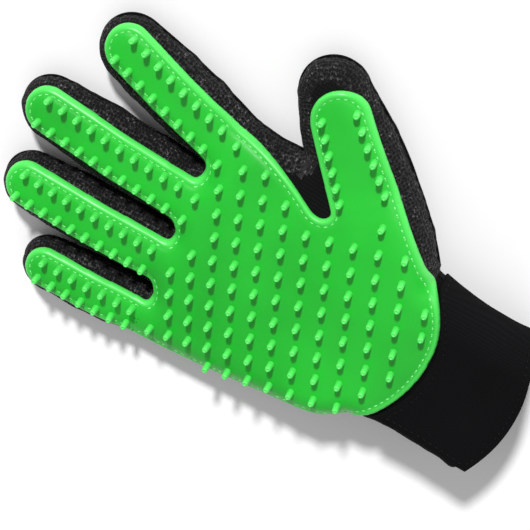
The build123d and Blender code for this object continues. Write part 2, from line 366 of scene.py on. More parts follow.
class FilledHand:
    """Outer surface of the cloth as a hand fills it: a puffed form over the cloth's outline."""

    ROOT_ROUND = 14.0
    DIGIT_ROUND = 13.0
    POWER = 2.3
    FALL_RADIAL = 0.0012
    FALL_ULNAR = 0.0022
    KNUCKLE_Y = 150
    KNUCKLE_DEPTH = 20
    WRIST_GAIN = 12  # how much deeper the wrist is than the knuckles
    PALM_LENGTH = 104
    CREST_X = -5  # line down the palm where it is highest
    CREST = 1.2

    def __init__(self, layout: Layout) -> None:
        """Prepares the search for the nearest point of the outline."""
        self.layout = layout
        self.outline, self.owner = layout.cloth_outline()
        steps = np.hypot(*np.diff(self.outline, axis=0).T)
        self.arc_length = np.concatenate([[0], np.cumsum(steps)])
        self.tree = kdtree.KDTree(len(self.outline))
        for number, (x, y) in enumerate(self.outline):
            self.tree.insert((x, y, 0), number)
        self.tree.balance()

    def nearest(self, xy: np.ndarray) -> tuple[np.ndarray, np.ndarray]:
        """Nearest outline point of each layout point.

        Args:
            xy: Layout points, one per row.

        Returns:
            The indices of the outline points, and the distances to them.
        """
        found = [self.tree.find((x, y, 0)) for x, y in xy]
        return np.array([f[1] for f in found]), np.array([f[2] for f in found])

    def girth(self, xy: np.ndarray) -> tuple[np.ndarray, np.ndarray]:
        """Thickness of the filled glove away from its edges, and the width of its edge rounding.

        Args:
            xy: Layout points, one per row.

        Returns:
            The thicknesses and the rounding widths.
        """
        x, y = xy[:, 0], xy[:, 1]
        steepness = self.WRIST_GAIN / self.PALM_LENGTH
        low_y = np.maximum(y, self.layout.wrist_y)
        slope = self.KNUCKLE_DEPTH + steepness * (self.KNUCKLE_Y - low_y)
        fall = np.where(x > self.CREST_X, self.FALL_RADIAL, self.FALL_ULNAR)
        crown = (self.CREST - fall * (x - self.CREST_X) ** 2) * ease((y - 50) / 35)
        thenar = 1.6 * np.exp(-((x - 36) ** 2 + (y - 72) ** 2) / 420)
        hollow = -1.0 * np.exp(-((x - 2) ** 2 + (y - 95) ** 2) / 700)
        depth = slope + crown + thenar + hollow
        rounding = np.full(len(xy), self.ROOT_ROUND)
        for digit in self.layout.digits:
            across, along = digit.local(xy)
            limit = max(digit.width, digit.cloth_root) / 2 + 5
            inside = ease((limit - np.abs(across)) / 4) * (along > 0)
            fall_here = self.FALL_RADIAL if digit.x > self.CREST_X else self.FALL_ULNAR
            crest = self.CREST - fall_here * (digit.x - self.CREST_X) ** 2
            root = self.KNUCKLE_DEPTH + steepness * (self.KNUCKLE_Y - digit.y) + crest
            taper = root + (digit.tip_height - root) * along / digit.length
            knuckle = 0.5 * np.exp(-(((along - digit.length * 0.42) / 9) ** 2))
            share = ease(along / 14) * inside * (along < digit.cloth_length + 6)
            depth = depth * (1 - share) + (taper + knuckle) * share
            rounding = rounding * (1 - share) + self.DIGIT_ROUND * share
        return depth, rounding

    def keep_inside(self, line: np.ndarray, margin: float) -> np.ndarray:
        """Moves the points of a line that lie too near the outline, or past it, inwards.

        Args:
            line: Layout points.
            margin: Least distance inside the outline.

        Returns:
            The moved points.
        """
        run = np.gradient(self.outline, axis=0)
        inward = np.column_stack([run[:, 1], -run[:, 0]]) / np.hypot(*run.T)[:, None]
        near, _ = self.nearest(line)
        depth = ((line - self.outline[near]) * inward[near]).sum(axis=1)
        fade = np.clip((line[:, 1] - self.layout.wrist_y - 4) / 12, 0, 1)
        push = inward[near] * (np.clip(margin - depth, 0, None) * fade)[:, None]
        for _ in range(6):
            push = (np.roll(push, 3, 0) + push + np.roll(push, -3, 0)) / 3
        return line + push

    def profile(self, ratio: np.ndarray) -> np.ndarray:
        """Share of the half thickness at a share of the rounding width from the edge."""
        inward = 1 - np.clip(ratio, 0, 1)
        return (1 - inward**self.POWER) ** (1 / self.POWER)

    def top(self, xy: np.ndarray) -> np.ndarray:
        """Height of the palm side of the cloth."""
        depth, rounding = self.girth(xy)
        _, gap = self.nearest(xy)
        return depth / 2 * (1 + self.profile(gap / rounding))

    def normal(self, xy: np.ndarray) -> np.ndarray:
        """Upward unit normals of the palm side, from differences in height."""
        step = 2.0
        rise_x = (self.top(xy + (step, 0)) - self.top(xy - (step, 0))) / (2 * step)
        rise_y = (self.top(xy + (0, step)) - self.top(xy - (0, step))) / (2 * step)
        out = np.stack([-rise_x, -rise_y, np.ones(len(xy))], axis=1)
        return out / np.linalg.norm(out, axis=1)[:, None]

    def inflate(self, points: np.ndarray, slab: float, inset: float) -> np.ndarray:
        """Moves the points of a flat slab onto the filled surface.

        Args:
            points: Layout points of a slab that lies on z = 0.
            slab: Thickness of the slab.
            inset: Distance of the slab's walls inside the outline.

        Returns:
            Layout points on the surface.
        """
        level = np.clip(points[:, 2] / slab * 2 - 1, -1, 1)
        near, gap = self.nearest(points[:, :2])
        depth, rounding = self.girth(points[:, :2])
        wall = (np.abs(level) < 0.93) & (gap < inset * 2.2)
        bulge = inset * (1 - np.sqrt(np.clip(1 - (level / 0.97) ** 2, 0, 1)))
        reach = np.where(wall, bulge, gap)
        foot = self.outline[near]
        away = (points[:, :2] - foot) / np.maximum(gap, 1e-6)[:, None]
        xy = np.where(wall[:, None], foot + away * reach[:, None], points[:, :2])
        lift = depth / 2 * self.profile(reach / rounding)
        sign = np.where(level >= 0, 1.0, -1.0)
        return np.column_stack([xy, depth / 2 + sign * lift])


# Bench: steps of modelling ---------------------------------------------------------------------


class Bench:
    """Modelling steps that the sub-assemblies share."""

    @staticmethod
    def take(obj: bpy.types.Object) -> None:
        """Makes an object the only selected and active one."""
        if bpy.context.object is not None and bpy.context.object.mode != "OBJECT":
            bpy.ops.object.mode_set(mode="OBJECT")
        for other in list(bpy.context.selected_objects):
            other.select_set(False)
        obj.select_set(True)
        bpy.context.view_layer.objects.active = obj

    @staticmethod
    def drop() -> None:
        """Deselects every object before a primitive is added."""
        for other in list(bpy.context.selected_objects):
            other.select_set(False)

    @staticmethod
    def points(obj: bpy.types.Object) -> np.ndarray:
        """The object's vertices, one per row."""
        flat = np.empty(len(obj.data.vertices) * 3)
        obj.data.vertices.foreach_get("co", flat)
        return flat.reshape(-1, 3)

    @staticmethod
    def put(obj: bpy.types.Object, points: np.ndarray) -> None:
        """Moves the object's vertices."""
        obj.data.vertices.foreach_set("co", points.astype(np.float64).ravel())
        obj.data.update()

    @staticmethod
    def normals(obj: bpy.types.Object) -> np.ndarray:
        """The object's vertex normals, one per row."""
        flat = np.empty(len(obj.data.vertices) * 3, dtype=np.float32)
        obj.data.vertex_normals.foreach_get("vector", flat)
        return flat.reshape(-1, 3).astype(float)

    @staticmethod
    def centres(obj: bpy.types.Object) -> np.ndarray:
        """Centres of the object's faces, one per row."""
        flat = np.empty(len(obj.data.polygons) * 3, dtype=np.float32)
        obj.data.polygons.foreach_get("center", flat)
        return flat.reshape(-1, 3).astype(float)

    @staticmethod
    def modify(obj: bpy.types.Object, kind: str, **settings: object) -> None:
        """Adds a modifier with its settings and applies it."""
        Bench.take(obj)
        modifier = obj.modifiers.new(kind.title(), kind)
        for key, value in settings.items():
            setattr(modifier, key, value)
        bpy.ops.object.modifier_apply(modifier=modifier.name)

    @staticmethod
    def outward(obj: bpy.types.Object) -> None:
        """Turns the faces outwards."""
        Bench.take(obj)
        bpy.ops.object.mode_set(mode="EDIT")
        bpy.ops.mesh.select_all(action="SELECT")
        bpy.ops.mesh.normals_make_consistent(inside=False)
        bpy.ops.object.mode_set(mode="OBJECT")

    @staticmethod
    def slab(name: str, outline: np.ndarray, low: float, height: float) -> bpy.types.Object:
        """A flat plate with an outline.

        Args:
            name: Name of the new object.
            outline: Frame points (x, y) in order, in metres.
            low: Height of its lower face.
            height: Thickness.

        Returns:
            The plate.
        """
        Bench.drop()
        bpy.ops.mesh.primitive_circle_add(vertices=len(outline), fill_type="NGON", radius=0.1)
        obj = bpy.context.object
        obj.name = name
        Bench.put(obj, np.column_stack([outline, np.full(len(outline), low)]))
        bpy.ops.object.mode_set(mode="EDIT")
        bpy.ops.mesh.select_all(action="SELECT")
        bpy.ops.mesh.extrude_region_move(TRANSFORM_OT_translate={"value": (0, 0, height)})
        bpy.ops.object.mode_set(mode="OBJECT")
        Bench.outward(obj)
        return obj

    @staticmethod
    def pick(obj: bpy.types.Object, faces: np.ndarray) -> None:
        """Enters edit mode with only some faces selected."""
        Bench.take(obj)
        bpy.ops.object.mode_set(mode="EDIT")
        bpy.context.tool_settings.mesh_select_mode = (False, False, True)
        bpy.ops.mesh.select_all(action="DESELECT")
        bpy.ops.object.mode_set(mode="OBJECT")
        obj.data.polygons.foreach_set("select", faces.astype(bool))
        bpy.ops.object.mode_set(mode="EDIT")

    @staticmethod
    def split(obj: bpy.types.Object, faces: np.ndarray, name: str) -> bpy.types.Object | None:
        """Takes some faces off into an object of their own.

        Args:
            obj: The object to take from.
            faces: True for each face to take.
            name: Name of the new object.

        Returns:
            The new object, or None where no face is taken.
        """
        if not faces.any():
            return None
        Bench.pick(obj, faces)
        bpy.ops.mesh.separate(type="SELECTED")
        bpy.ops.object.mode_set(mode="OBJECT")
        piece = next(o for o in bpy.context.selected_objects if o != obj)
        piece.name = name
        piece.data.name = name
        return piece

    @staticmethod
    def cut(obj: bpy.types.Object, faces: np.ndarray, point: tuple, normal: tuple) -> None:
        """Cuts some faces along a plane and keeps both sides."""
        Bench.pick(obj, faces)
        bpy.ops.mesh.bisect(plane_co=point, plane_no=normal, use_fill=False)
        bpy.ops.object.mode_set(mode="OBJECT")

    @staticmethod
    def close(obj: bpy.types.Object) -> None:
        """Fills the open ends of a cut solid."""
        Bench.take(obj)
        bpy.ops.object.mode_set(mode="EDIT")
        bpy.context.tool_settings.mesh_select_mode = (False, True, False)
        bpy.ops.mesh.select_all(action="DESELECT")
        bpy.ops.mesh.select_non_manifold(extend=False, use_wire=False, use_multi_face=False)
        bpy.ops.mesh.fill_holes(sides=0)
        bpy.ops.mesh.select_all(action="SELECT")
        bpy.ops.mesh.normals_make_consistent(inside=False)
        bpy.ops.object.mode_set(mode="OBJECT")

    @staticmethod
    def tube(name: str, points: np.ndarray, radius: float, closed: bool = False) -> bpy.types.Object:
        """A round piping along a line.

        Args:
            name: Name of the new object.
            points: Frame points of the line, in metres.
            radius: Radius of the piping in millimetres.
            closed: Whether the line is a loop.

        Returns:
            The piping as a mesh.
        """
        curve = bpy.data.curves.new(name, "CURVE")
        curve.dimensions = "3D"
        curve.bevel_depth = radius * MM
        curve.bevel_resolution = 1
        curve.use_fill_caps = True
        spline = curve.splines.new("POLY")
        spline.points.add(len(points) - 1)
        spline.points.foreach_set("co", np.column_stack([points, np.ones(len(points))]).ravel())
        spline.use_cyclic_u = closed
        obj = bpy.data.objects.new(name, curve)
        bpy.context.scene.collection.objects.link(obj)
        Bench.take(obj)
        bpy.ops.object.convert(target="MESH")
        return bpy.context.object

    @staticmethod
    def join(name: str, objects: list[bpy.types.Object]) -> bpy.types.Object:
        """Joins objects into the first one."""
        Bench.take(objects[0])
        for obj in objects[1:]:
            obj.select_set(True)
        if len(objects) > 1:
            bpy.ops.object.join()
        joined = bpy.context.object
        joined.name = name
        joined.data.name = name
        return joined

    @staticmethod
    def copies(model: bpy.types.Object, places: list[Matrix], name: str) -> bpy.types.Object:
        """Copies one model to many places, each copy with its own mesh, and joins them.

        Args:
            model: The object to copy.
            places: Matrix of each copy, in frame coordinates.
            name: Name of the joined object.

        Returns:
            The joined copies.
        """
        made = []
        for place in places:
            copy = model.copy()
            copy.data = model.data.copy()
            copy.data.transform(place)
            bpy.context.scene.collection.objects.link(copy)
            made.append(copy)
        return Bench.join(name, made)

    @staticmethod
    def shade(obj: bpy.types.Object, angle: float = 40.0) -> None:
        """Shades the object smooth, with creases sharper than an angle."""
        Bench.take(obj)
        bpy.ops.object.shade_smooth_by_angle(angle=math.radians(angle))

    @staticmethod
    def attribute(obj: bpy.types.Object, name: str, values: np.ndarray) -> None:
        """Stores one number on each vertex."""
        data = obj.data.attributes.new(name, "FLOAT", "POINT")
        data.data.foreach_set("value", values.astype(np.float32))

    @staticmethod
    def weave_map(obj: bpy.types.Object, coords: np.ndarray) -> None:
        """Stores cloth coordinates as a UV map, from one pair for each vertex."""
        layer = obj.data.uv_layers.new(name="weave")
        corner = np.empty(len(obj.data.loops), dtype=np.int32)
        obj.data.loops.foreach_get("vertex_index", corner)
        layer.data.foreach_set("uv", coords[corner].astype(np.float32).ravel())

    @staticmethod
    def bend(obj: bpy.types.Object, slot: str, body: str, ends: list[tuple]) -> None:
        """Bakes a piece's placement into its mesh and logs its faces and the digit it belongs to."""
        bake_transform(obj)
        LOG.info("%s: %d faces, hand to %s", obj.name, len(obj.data.polygons), body)

    @staticmethod
    def dress(obj: bpy.types.Object, body: str, slot: str, *nodes: str) -> bpy.types.Object:
        """Says which body a finished piece rides on and what it replaces."""
        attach(obj, body)
        if nodes:
            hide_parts(*nodes)
        LOG.info("%s: %d faces on %s", obj.name, len(obj.data.polygons), body)
        return obj


# Finishes --------------------------------------------------------------------------------------


class Shader:
    """Builds a material's nodes one by one."""

    def __init__(self, name: str) -> None:
        """Starts a material with only its surface shader."""
        self.material = bpy.data.materials.new(name)
        self.material.use_nodes = True
        self.tree = self.material.node_tree
        self.surface = self.tree.nodes["Principled BSDF"]
        self.coords = self.tree.nodes.new("ShaderNodeTexCoord")

    def node(self, kind: str, inputs: dict | None = None, **settings: object) -> bpy.types.Node:
        """Adds a node.

        Args:
            kind: Node type without its prefix.
            inputs: Value or socket for each input, by name or index.
            settings: Properties of the node.

        Returns:
            The node.
        """
        node = self.tree.nodes.new("ShaderNode" + kind)
        for key, value in settings.items():
            setattr(node, key, value)
        for key, value in (inputs or {}).items():
            if isinstance(value, bpy.types.NodeSocket):
                self.tree.links.new(value, node.inputs[key])
            else:
                node.inputs[key].default_value = value
        return node

    def set(self, **values: object) -> None:
        """Sets or links inputs of the surface shader, with _ for each space."""
        for key, value in values.items():
            socket = self.surface.inputs[key.replace("_", " ")]
            if isinstance(value, bpy.types.NodeSocket):
                self.tree.links.new(value, socket)
            else:
                socket.default_value = value

    def noise(self, scale: float, detail: float = 3.0, vector: object = None) -> bpy.types.NodeSocket:
        """A noise pattern's value on the piece's own coordinates."""
        source = vector or self.coords.outputs["Object"]
        made = self.node("TexNoise", {"Vector": source, "Scale": scale, "Detail": detail})
        return made.outputs["Fac"]

    def ramp(self, value: bpy.types.NodeSocket, stops: list[tuple]) -> bpy.types.NodeSocket:
        """A colour ramp over a value, from (position, colour) stops."""
        node = self.node("ValToRGB", {"Fac": value})
        elements = node.color_ramp.elements
        while len(elements) < len(stops):
            elements.new(0.5)
        for element, (position, colour) in zip(elements, stops):
            element.position = position
            element.color = (*colour, 1.0)
        return node.outputs["Color"]

    def mix(self, factor: object, first: object, second: object) -> bpy.types.NodeSocket:
        """A blend of two colours."""
        node = self.node("Mix", data_type="RGBA")
        for index, value in ((0, factor), (6, first), (7, second)):
            if isinstance(value, bpy.types.NodeSocket):
                self.tree.links.new(value, node.inputs[index])
            elif index == 0:
                node.inputs[index].default_value = value
            else:
                node.inputs[index].default_value = (*value, 1.0)
        return node.outputs[2]

    def math(self, kind: str, first: object, second: object = 0.0) -> bpy.types.NodeSocket:
        """One arithmetic step on numbers or sockets."""
        return self.node("Math", {0: first, 1: second}, operation=kind).outputs[0]

    def span(self, value: object, low: float, high: float, to: tuple) -> bpy.types.NodeSocket:
        """Maps a value's range onto another."""
        made = self.node(
            "MapRange",
            {"Value": value, "From Min": low, "From Max": high, "To Min": to[0], "To Max": to[1]},
        )
        return made.outputs["Result"]

    def bump(self, height: object, depth: float, strength: float = 1.0) -> None:
        """Raises the surface by a height pattern, given in millimetres of depth."""
        made = self.node(
            "Bump", {"Height": height, "Distance": depth * MM, "Strength": strength}
        )
        self.tree.links.new(made.outputs["Normal"], self.surface.inputs["Normal"])


@dataclass(frozen=True)
class Silicone:
    """Soft moulded rubber of the pad, with painted highlight paling its rim, and nubs that pale towards
    their tips, partly thin translucent silicone and partly painted highlight.
    """

    deep: tuple = (0.008, 0.40, 0.020)
    main: tuple = (0.010, 0.50, 0.025)
    # pale: colour of the painted highlight along the rim, and of the paler nub tips
    pale: tuple = (0.11, 0.84, 0.14)

    def make(self) -> bpy.types.Material:
        """Returns the material."""
        s = Shader("silicone_green")
        cloud = s.ramp(s.noise(22.0, 2.0), [(0.3, self.deep), (0.62, self.main)])
        rim = s.node("Attribute", attribute_name="rim").outputs["Fac"]
        nub = s.node("Attribute", attribute_name="nub").outputs["Fac"]
        # painted highlight: colour mixed towards pale along the pad's rim
        rim_highlit = s.mix(s.math("MULTIPLY", rim, 0.75), cloud, self.pale)
        # nubs paler towards their tips: partly thin translucent silicone, partly painted highlight
        tips_pale_and_highlit = s.mix(s.math("MULTIPLY", nub, 0.95), rim_highlit, self.pale)
        rough = s.span(s.noise(260.0, 4.0), 0.3, 0.7, (0.34, 0.46))
        s.set(Base_Color=tips_pale_and_highlit, Roughness=rough, Specular_IOR_Level=0.45)
        s.set(Subsurface_Weight=0.08, Subsurface_Radius=(0.6, 1.0, 0.4), Subsurface_Scale=0.0025)
        s.set(Coat_Weight=0.08, Coat_Roughness=0.3)
        s.bump(s.noise(900.0, 3.0), 0.05, 0.5)
        return s.material


@dataclass(frozen=True)
class OpenMesh:
    """Coarse open mesh of the side strips: rows of holes between looped yarns."""

    yarn: tuple = (0.024, 0.022, 0.024)
    gap: tuple = (0.0010, 0.0010, 0.0012)
    glint: tuple = (0.16, 0.145, 0.155)
    cell: float = 1.5

    def make(self) -> bpy.types.Material:
        """Returns the material."""
        s = Shader("mesh_side")
        weave = s.node("UVMap", uv_map="weave").outputs["UV"]
        stretch = s.node("Mapping", {"Vector": weave, "Scale": (1.0, 0.72, 1.0)}).outputs[0]
        holes = s.node(
            "TexVoronoi",
            {"Vector": stretch, "Scale": 1.0 / (self.cell * MM), "Randomness": 0.45},
            voronoi_dimensions="2D",
            feature="F1",
        ).outputs["Distance"]
        web = s.span(holes, 0.25, 0.55, (0.0, 1.0))
        fibre = s.noise(1500.0, 2.0)
        patchy = s.span(s.noise(120.0, 3.0), 0.35, 0.7, (0.15, 1.0))
        shown = s.math("MULTIPLY", s.math("MULTIPLY", web, patchy), s.span(fibre, 0.3, 0.7, (0.4, 1.3)))
        glint = s.math("MULTIPLY", s.span(s.noise(900.0, 2.0), 0.6, 0.68, (0.0, 1.0)), patchy)
        s.set(Base_Color=s.mix(glint, s.mix(shown, self.gap, self.yarn), self.glint))
        s.set(Roughness=s.span(web, 0, 1, (0.95, 0.6)), Specular_IOR_Level=0.3)
        s.bump(s.math("ADD", web, s.math("MULTIPLY", fibre, 0.35)), 0.7, 1.0)
        return s.material


@dataclass(frozen=True)
class FineKnit:
    """Closely knitted cloth: short slanting loops in columns."""

    name: str
    light: tuple = (0.014, 0.013, 0.014)
    dark: tuple = (0.0015, 0.0015, 0.0018)
    gloss: float = 0.2
    pitch: float = 0.9
    depth: float = 0.25

    def make(self) -> bpy.types.Material:
        """Returns the material."""
        s = Shader(self.name)
        place = s.coords.outputs["Object"]
        columns = s.node(
            "TexWave",
            {"Vector": place, "Scale": 0.314 / (self.pitch * MM) / 2, "Distortion": 1.2,
             "Detail": 1.0, "Detail Scale": 3.0},
            bands_direction="X",
        ).outputs["Fac"]
        rows = s.node(
            "TexWave",
            {"Vector": place, "Scale": 0.314 / (self.pitch * MM) / 1.4, "Distortion": 2.0,
             "Detail": 1.0, "Detail Scale": 4.0},
            bands_direction="Y",
        ).outputs["Fac"]
        loops = s.math("MULTIPLY", columns, rows)
        fuzz = s.noise(2200.0, 2.0)
        broad = s.span(s.noise(40.0, 2.0), 0.3, 0.7, (0.6, 1.0))
        cloth = s.math("ADD", s.math("MULTIPLY", loops, 0.7), s.math("MULTIPLY", fuzz, 0.3))
        shown = s.math("MULTIPLY", cloth, broad)
        s.set(Base_Color=s.mix(shown, self.dark, self.light), Roughness=0.88)
        s.set(Specular_IOR_Level=self.gloss)
        s.bump(s.math("ADD", loops, s.math("MULTIPLY", fuzz, 0.4)), self.depth, 0.7)
        return s.material


@dataclass(frozen=True)
class Fuzz:
    """Loop pile or a field of hooks: fine points that catch the light."""

    name: str
    point: float = 0.7
    light: tuple = (0.028, 0.028, 0.03)
    dark: tuple = (0.003, 0.003, 0.0035)
    randomness: float = 1.0

    def make(self) -> bpy.types.Material:
        """Returns the material."""
        s = Shader(self.name)
        dots = s.node(
            "TexVoronoi",
            {"Vector": s.coords.outputs["Object"], "Scale": 1 / (self.point * MM),
             "Randomness": self.randomness},
        ).outputs["Distance"]
        tips = s.span(dots, 0.0, 0.6, (1.0, 0.0))
        s.set(Base_Color=s.mix(tips, self.dark, self.light), Roughness=0.8)
        s.set(Specular_IOR_Level=0.15)
        s.bump(tips, 0.6, 0.9)
        return s.material


@dataclass(frozen=True)
class Thread:
    """Twisted sewing thread."""

    name: str
    light: tuple
    dark: tuple

    def make(self) -> bpy.types.Material:
        """Returns the material."""
        s = Shader(self.name)
        twist = s.node(
            "TexWave", {"Vector": s.coords.outputs["Object"], "Scale": 420.0, "Distortion": 1.0},
            bands_direction="DIAGONAL",
        ).outputs["Fac"]
        s.set(Base_Color=s.mix(twist, self.dark, self.light), Roughness=0.6)
        s.set(Specular_IOR_Level=0.12)
        s.bump(twist, 0.12, 0.7)
        return s.material


@dataclass
class Wardrobe:
    """Every finish of the glove, made once."""

    silicone: bpy.types.Material = field(default_factory=lambda: Silicone().make())
    mesh: bpy.types.Material = field(default_factory=lambda: OpenMesh().make())
    back: bpy.types.Material = field(default_factory=lambda: FineKnit("knit_back").make())
    lining: bpy.types.Material = field(
        default_factory=lambda: FineKnit(
            "lining_palm", (0.010, 0.010, 0.011), pitch=0.8, depth=0.15, gloss=0.12
        ).make()
    )
    elastic: bpy.types.Material = field(
        default_factory=lambda: FineKnit(
            "cuff_elastic", (0.0075, 0.0072, 0.008), (0.0025, 0.0025, 0.003), 0.08, 0.6, 0.12
        ).make()
    )
    binding: bpy.types.Material = field(
        default_factory=lambda: FineKnit("binding_black", pitch=0.5, depth=0.15).make()
    )
    loops: bpy.types.Material = field(default_factory=lambda: Fuzz("loop_black").make())
    hooks: bpy.types.Material = field(
        default_factory=lambda: Fuzz("hook_black", 1.1, randomness=0.2).make()
    )
    green_thread: bpy.types.Material = field(
        default_factory=lambda: Thread("thread_green", (0.30, 0.92, 0.33), (0.10, 0.60, 0.12)).make()
    )
    black_thread: bpy.types.Material = field(
        default_factory=lambda: Thread(
            "thread_black", (0.004, 0.004, 0.0045), (0.002, 0.002, 0.0025)
        ).make()
    )


# Cloth -----------------------------------------------------------------------------------------


@dataclass
class ClothShell:
    """The sewn cloth of the hand, the fingers and the thumb, cut into its panels."""

    hand: FilledHand
    finishes: Wardrobe
    voxel: float = 1.25
    slab: float = 9.0
    inset: float = 1.5
    cloth: float = 1.1
    face_above: float = 0.93
    back_below: float = -0.06
    open_at: float = 46.4

    def blank(self) -> bpy.types.Object:
        """The whole outer surface in one piece, open at the wrist."""
        layout = self.hand.layout
        outline = self.hand.outline[::3]
        inner = self.offset(outline, self.inset)
        inner = inner[inner[:, 1] > 34]
        flat = layout.to_frame(np.column_stack([inner, np.zeros(len(inner))]))
        obj = Bench.slab("cloth_shell", flat[:, :2], 0, self.slab * MM)
        Bench.modify(obj, "REMESH", mode="VOXEL", voxel_size=self.voxel * MM)
        points = layout.to_layout(Bench.points(obj))
        Bench.put(obj, layout.to_frame(self.hand.inflate(points, self.slab, self.inset)))
        Bench.modify(obj, "SMOOTH", factor=0.5, iterations=4)
        Bench.outward(obj)
        self.pucker(obj)
        point = layout.to_frame(np.array([[0, self.open_at, 0]]))[0]
        Bench.pick(obj, np.ones(len(obj.data.polygons), bool))
        bpy.ops.mesh.bisect(plane_co=point, plane_no=(0, 1, 0), clear_inner=True)
        bpy.ops.object.mode_set(mode="OBJECT")
        return obj

    @staticmethod
    def offset(line: np.ndarray, inward: float) -> np.ndarray:
        """Moves a polyline to its right-hand side by a distance."""
        run = np.gradient(line, axis=0)
        run /= np.maximum(np.hypot(*run.T), 1e-9)[:, None]
        return line + inward * np.column_stack([run[:, 1], -run[:, 0]])

    def pucker(self, obj: bpy.types.Object) -> None:
        """Adds soft folds, and small gathers beside the seams."""
        layout = self.hand.layout
        points = layout.to_layout(Bench.points(obj))
        near, gap = self.hand.nearest(points[:, :2])
        depth, _ = self.hand.girth(points[:, :2])
        along = self.hand.arc_length[near]
        level = (points[:, 2] - depth / 2) / (depth / 2)
        soft = np.array([noise.noise(Vector(p) / 11.0) for p in points])
        fine = np.array([noise.noise(Vector((p[0], p[1], p[2] + 50)) / 4.5) for p in points])
        seam = np.exp(-(((level - self.back_below) / 0.16) ** 2)) * np.exp(-gap / 6)
        gather = np.sin(along * 2 * math.pi / 4.3 + 2.5 * soft) * seam
        side = np.exp(-gap / 4.0)
        move = 0.75 * soft * side + 0.35 * fine * side + 0.3 * gather - 0.35 * seam
        Bench.put(obj, layout.to_frame(points + Bench.normals(obj) * move[:, None]))

    def level(self, obj: bpy.types.Object) -> tuple[np.ndarray, np.ndarray]:
        """Layout centres of the faces, and their height as a share of the half thickness."""
        centres = self.hand.layout.to_layout(Bench.centres(obj))
        depth, _ = self.hand.girth(centres[:, :2])
        return centres, (centres[:, 2] - depth / 2) / (depth / 2)

    def layer_masks(self, obj: bpy.types.Object) -> dict[Layer, np.ndarray]:
        """Which faces belong to each panel layer."""
        _, level = self.level(obj)
        face, back = level > self.face_above, level < self.back_below
        return {Layer.FACE: face, Layer.BACK: back, Layer.SIDE: ~face & ~back}

    def finish(self, obj: bpy.types.Object, materials: list[bpy.types.Material]) -> None:
        """Gives a panel its weave, thickness and finish.

        Args:
            obj: The panel as an open surface.
            materials: Its material, or the materials of its back, side and face layers.
        """
        layout = self.hand.layout
        points = layout.to_layout(Bench.points(obj))
        near, gap = self.hand.nearest(points[:, :2])
        along = self.hand.arc_length[near]
        Bench.weave_map(obj, np.column_stack([along, points[:, 2] + gap * 0.5]) * MM)
        for material in materials:
            obj.data.materials.append(material)
        if len(materials) > 1:
            masks = self.layer_masks(obj)
            index = np.zeros(len(obj.data.polygons), np.int32)
            for number, layer in enumerate((Layer.BACK, Layer.SIDE, Layer.FACE)):
                index[masks[layer]] = number
            obj.data.polygons.foreach_set("material_index", index)
        Bench.modify(obj, "SOLIDIFY", thickness=self.cloth * MM, offset=-1.0)
        Bench.shade(obj, 50)

    def build(self) -> None:
        """Cuts the shell into sleeves, digits and hand, and those into panels."""
        shell = self.blank()
        layout, look = self.hand.layout, self.finishes
        layered = [look.back, look.mesh, look.lining]
        for digit in layout.digits:
            tube = self.take_digit(shell, digit, 0.0, f"{digit.name}_cloth")
            rest = self.take_digit(tube, digit, digit.sleeve, f"{digit.name}_upper")
            tube.name = f"{digit.name}_sleeve"
            self.finish(tube, layered)
            Bench.bend(tube, "mesh_side", digit.name, layout.sleeve_ends(digit))
            self.panels(rest, digit)
        web = Bench.split(shell, self.web_mask(shell), "thumb_web")
        self.finish(web, layered)
        Bench.bend(web, "mesh_side", "thumb", layout.web_ends())
        self.hand_panels(shell)

    def web_mask(self, obj: bpy.types.Object) -> np.ndarray:
        """Which faces belong to the web between the thumb and the index finger."""
        layout = self.hand.layout
        centres = layout.to_layout(Bench.centres(obj))
        across, along = layout.digits[-1].local(centres[:, :2])
        return (across <= -layout.web_across) & (across > -32) & (along > 0) & (along < 32)

    def take_digit(
        self, obj: bpy.types.Object, digit: Digit, along: float, name: str
    ) -> bpy.types.Object:
        """Cuts a digit off across its length.

        Args:
            obj: The cloth to cut.
            digit: The digit.
            along: Distance of the cut from the crease.
            name: Name of the part beyond the cut.

        Returns:
            The part beyond the cut.
        """
        layout = self.hand.layout
        number = layout.digits.index(digit)
        thumb = digit is layout.digits[-1]
        centres = layout.to_layout(Bench.centres(obj))
        across, far = digit.local(centres[:, :2])
        near = (np.abs(across) < digit.cloth_root / 2 + 4) & (np.abs(far - along) < 4)
        spot = layout.to_frame(np.array([[*digit.place(0, along), 0]]))[0]
        Bench.cut(obj, near, spot, (*digit.forward, 0))
        if thumb:
            centres = layout.to_layout(Bench.centres(obj))
            across, far = digit.local(centres[:, :2])
            near = (np.abs(across + layout.web_across) < 4) & (np.abs(far - 15) < 22)
            side = layout.to_frame(np.array([[*digit.place(-layout.web_across, 0), 0]]))[0]
            Bench.cut(obj, near, side, (*digit.sideways, 0))
        centres = layout.to_layout(Bench.centres(obj))
        across, far = digit.local(centres[:, :2])
        beyond = (far > along) & (far < digit.cloth_length + 5)
        if thumb:
            tip = (far > 32) & (across > -30)
            return Bench.split(obj, beyond & ((across > -layout.web_across) | tip) & (across < 30), name)
        owner = self.hand.owner[self.hand.nearest(centres[:, :2])[0]]
        return Bench.split(obj, beyond & (owner == number), name)

    def panels(self, obj: bpy.types.Object, digit: Digit) -> None:
        """Separates one digit's face, back and two side strips."""
        look, name = self.finishes, digit.name
        back = Bench.split(obj, self.layer_masks(obj)[Layer.BACK], f"{name}_back_panel")
        face = Bench.split(obj, self.layer_masks(obj)[Layer.FACE], f"{name}_face_panel")
        centres = self.hand.layout.to_layout(Bench.centres(obj))
        across, _ = digit.local(centres[:, :2])
        radial = Bench.split(obj, across > 0, f"{name}_side_strip_radial")
        obj.name = f"{name}_side_strip_ulnar"
        for piece, material, slot, node in (
            (back, look.back, "knit_back", f"{name}_back"),
            (face, look.lining, "lining_palm", f"{name}_face"),
            (radial, look.mesh, "mesh_side", f"{name}_side_radial"),
            (obj, look.mesh, "mesh_side", f"{name}_side_ulnar"),
        ):
            self.finish(piece, [material])
            Bench.dress(piece, name, slot, node)

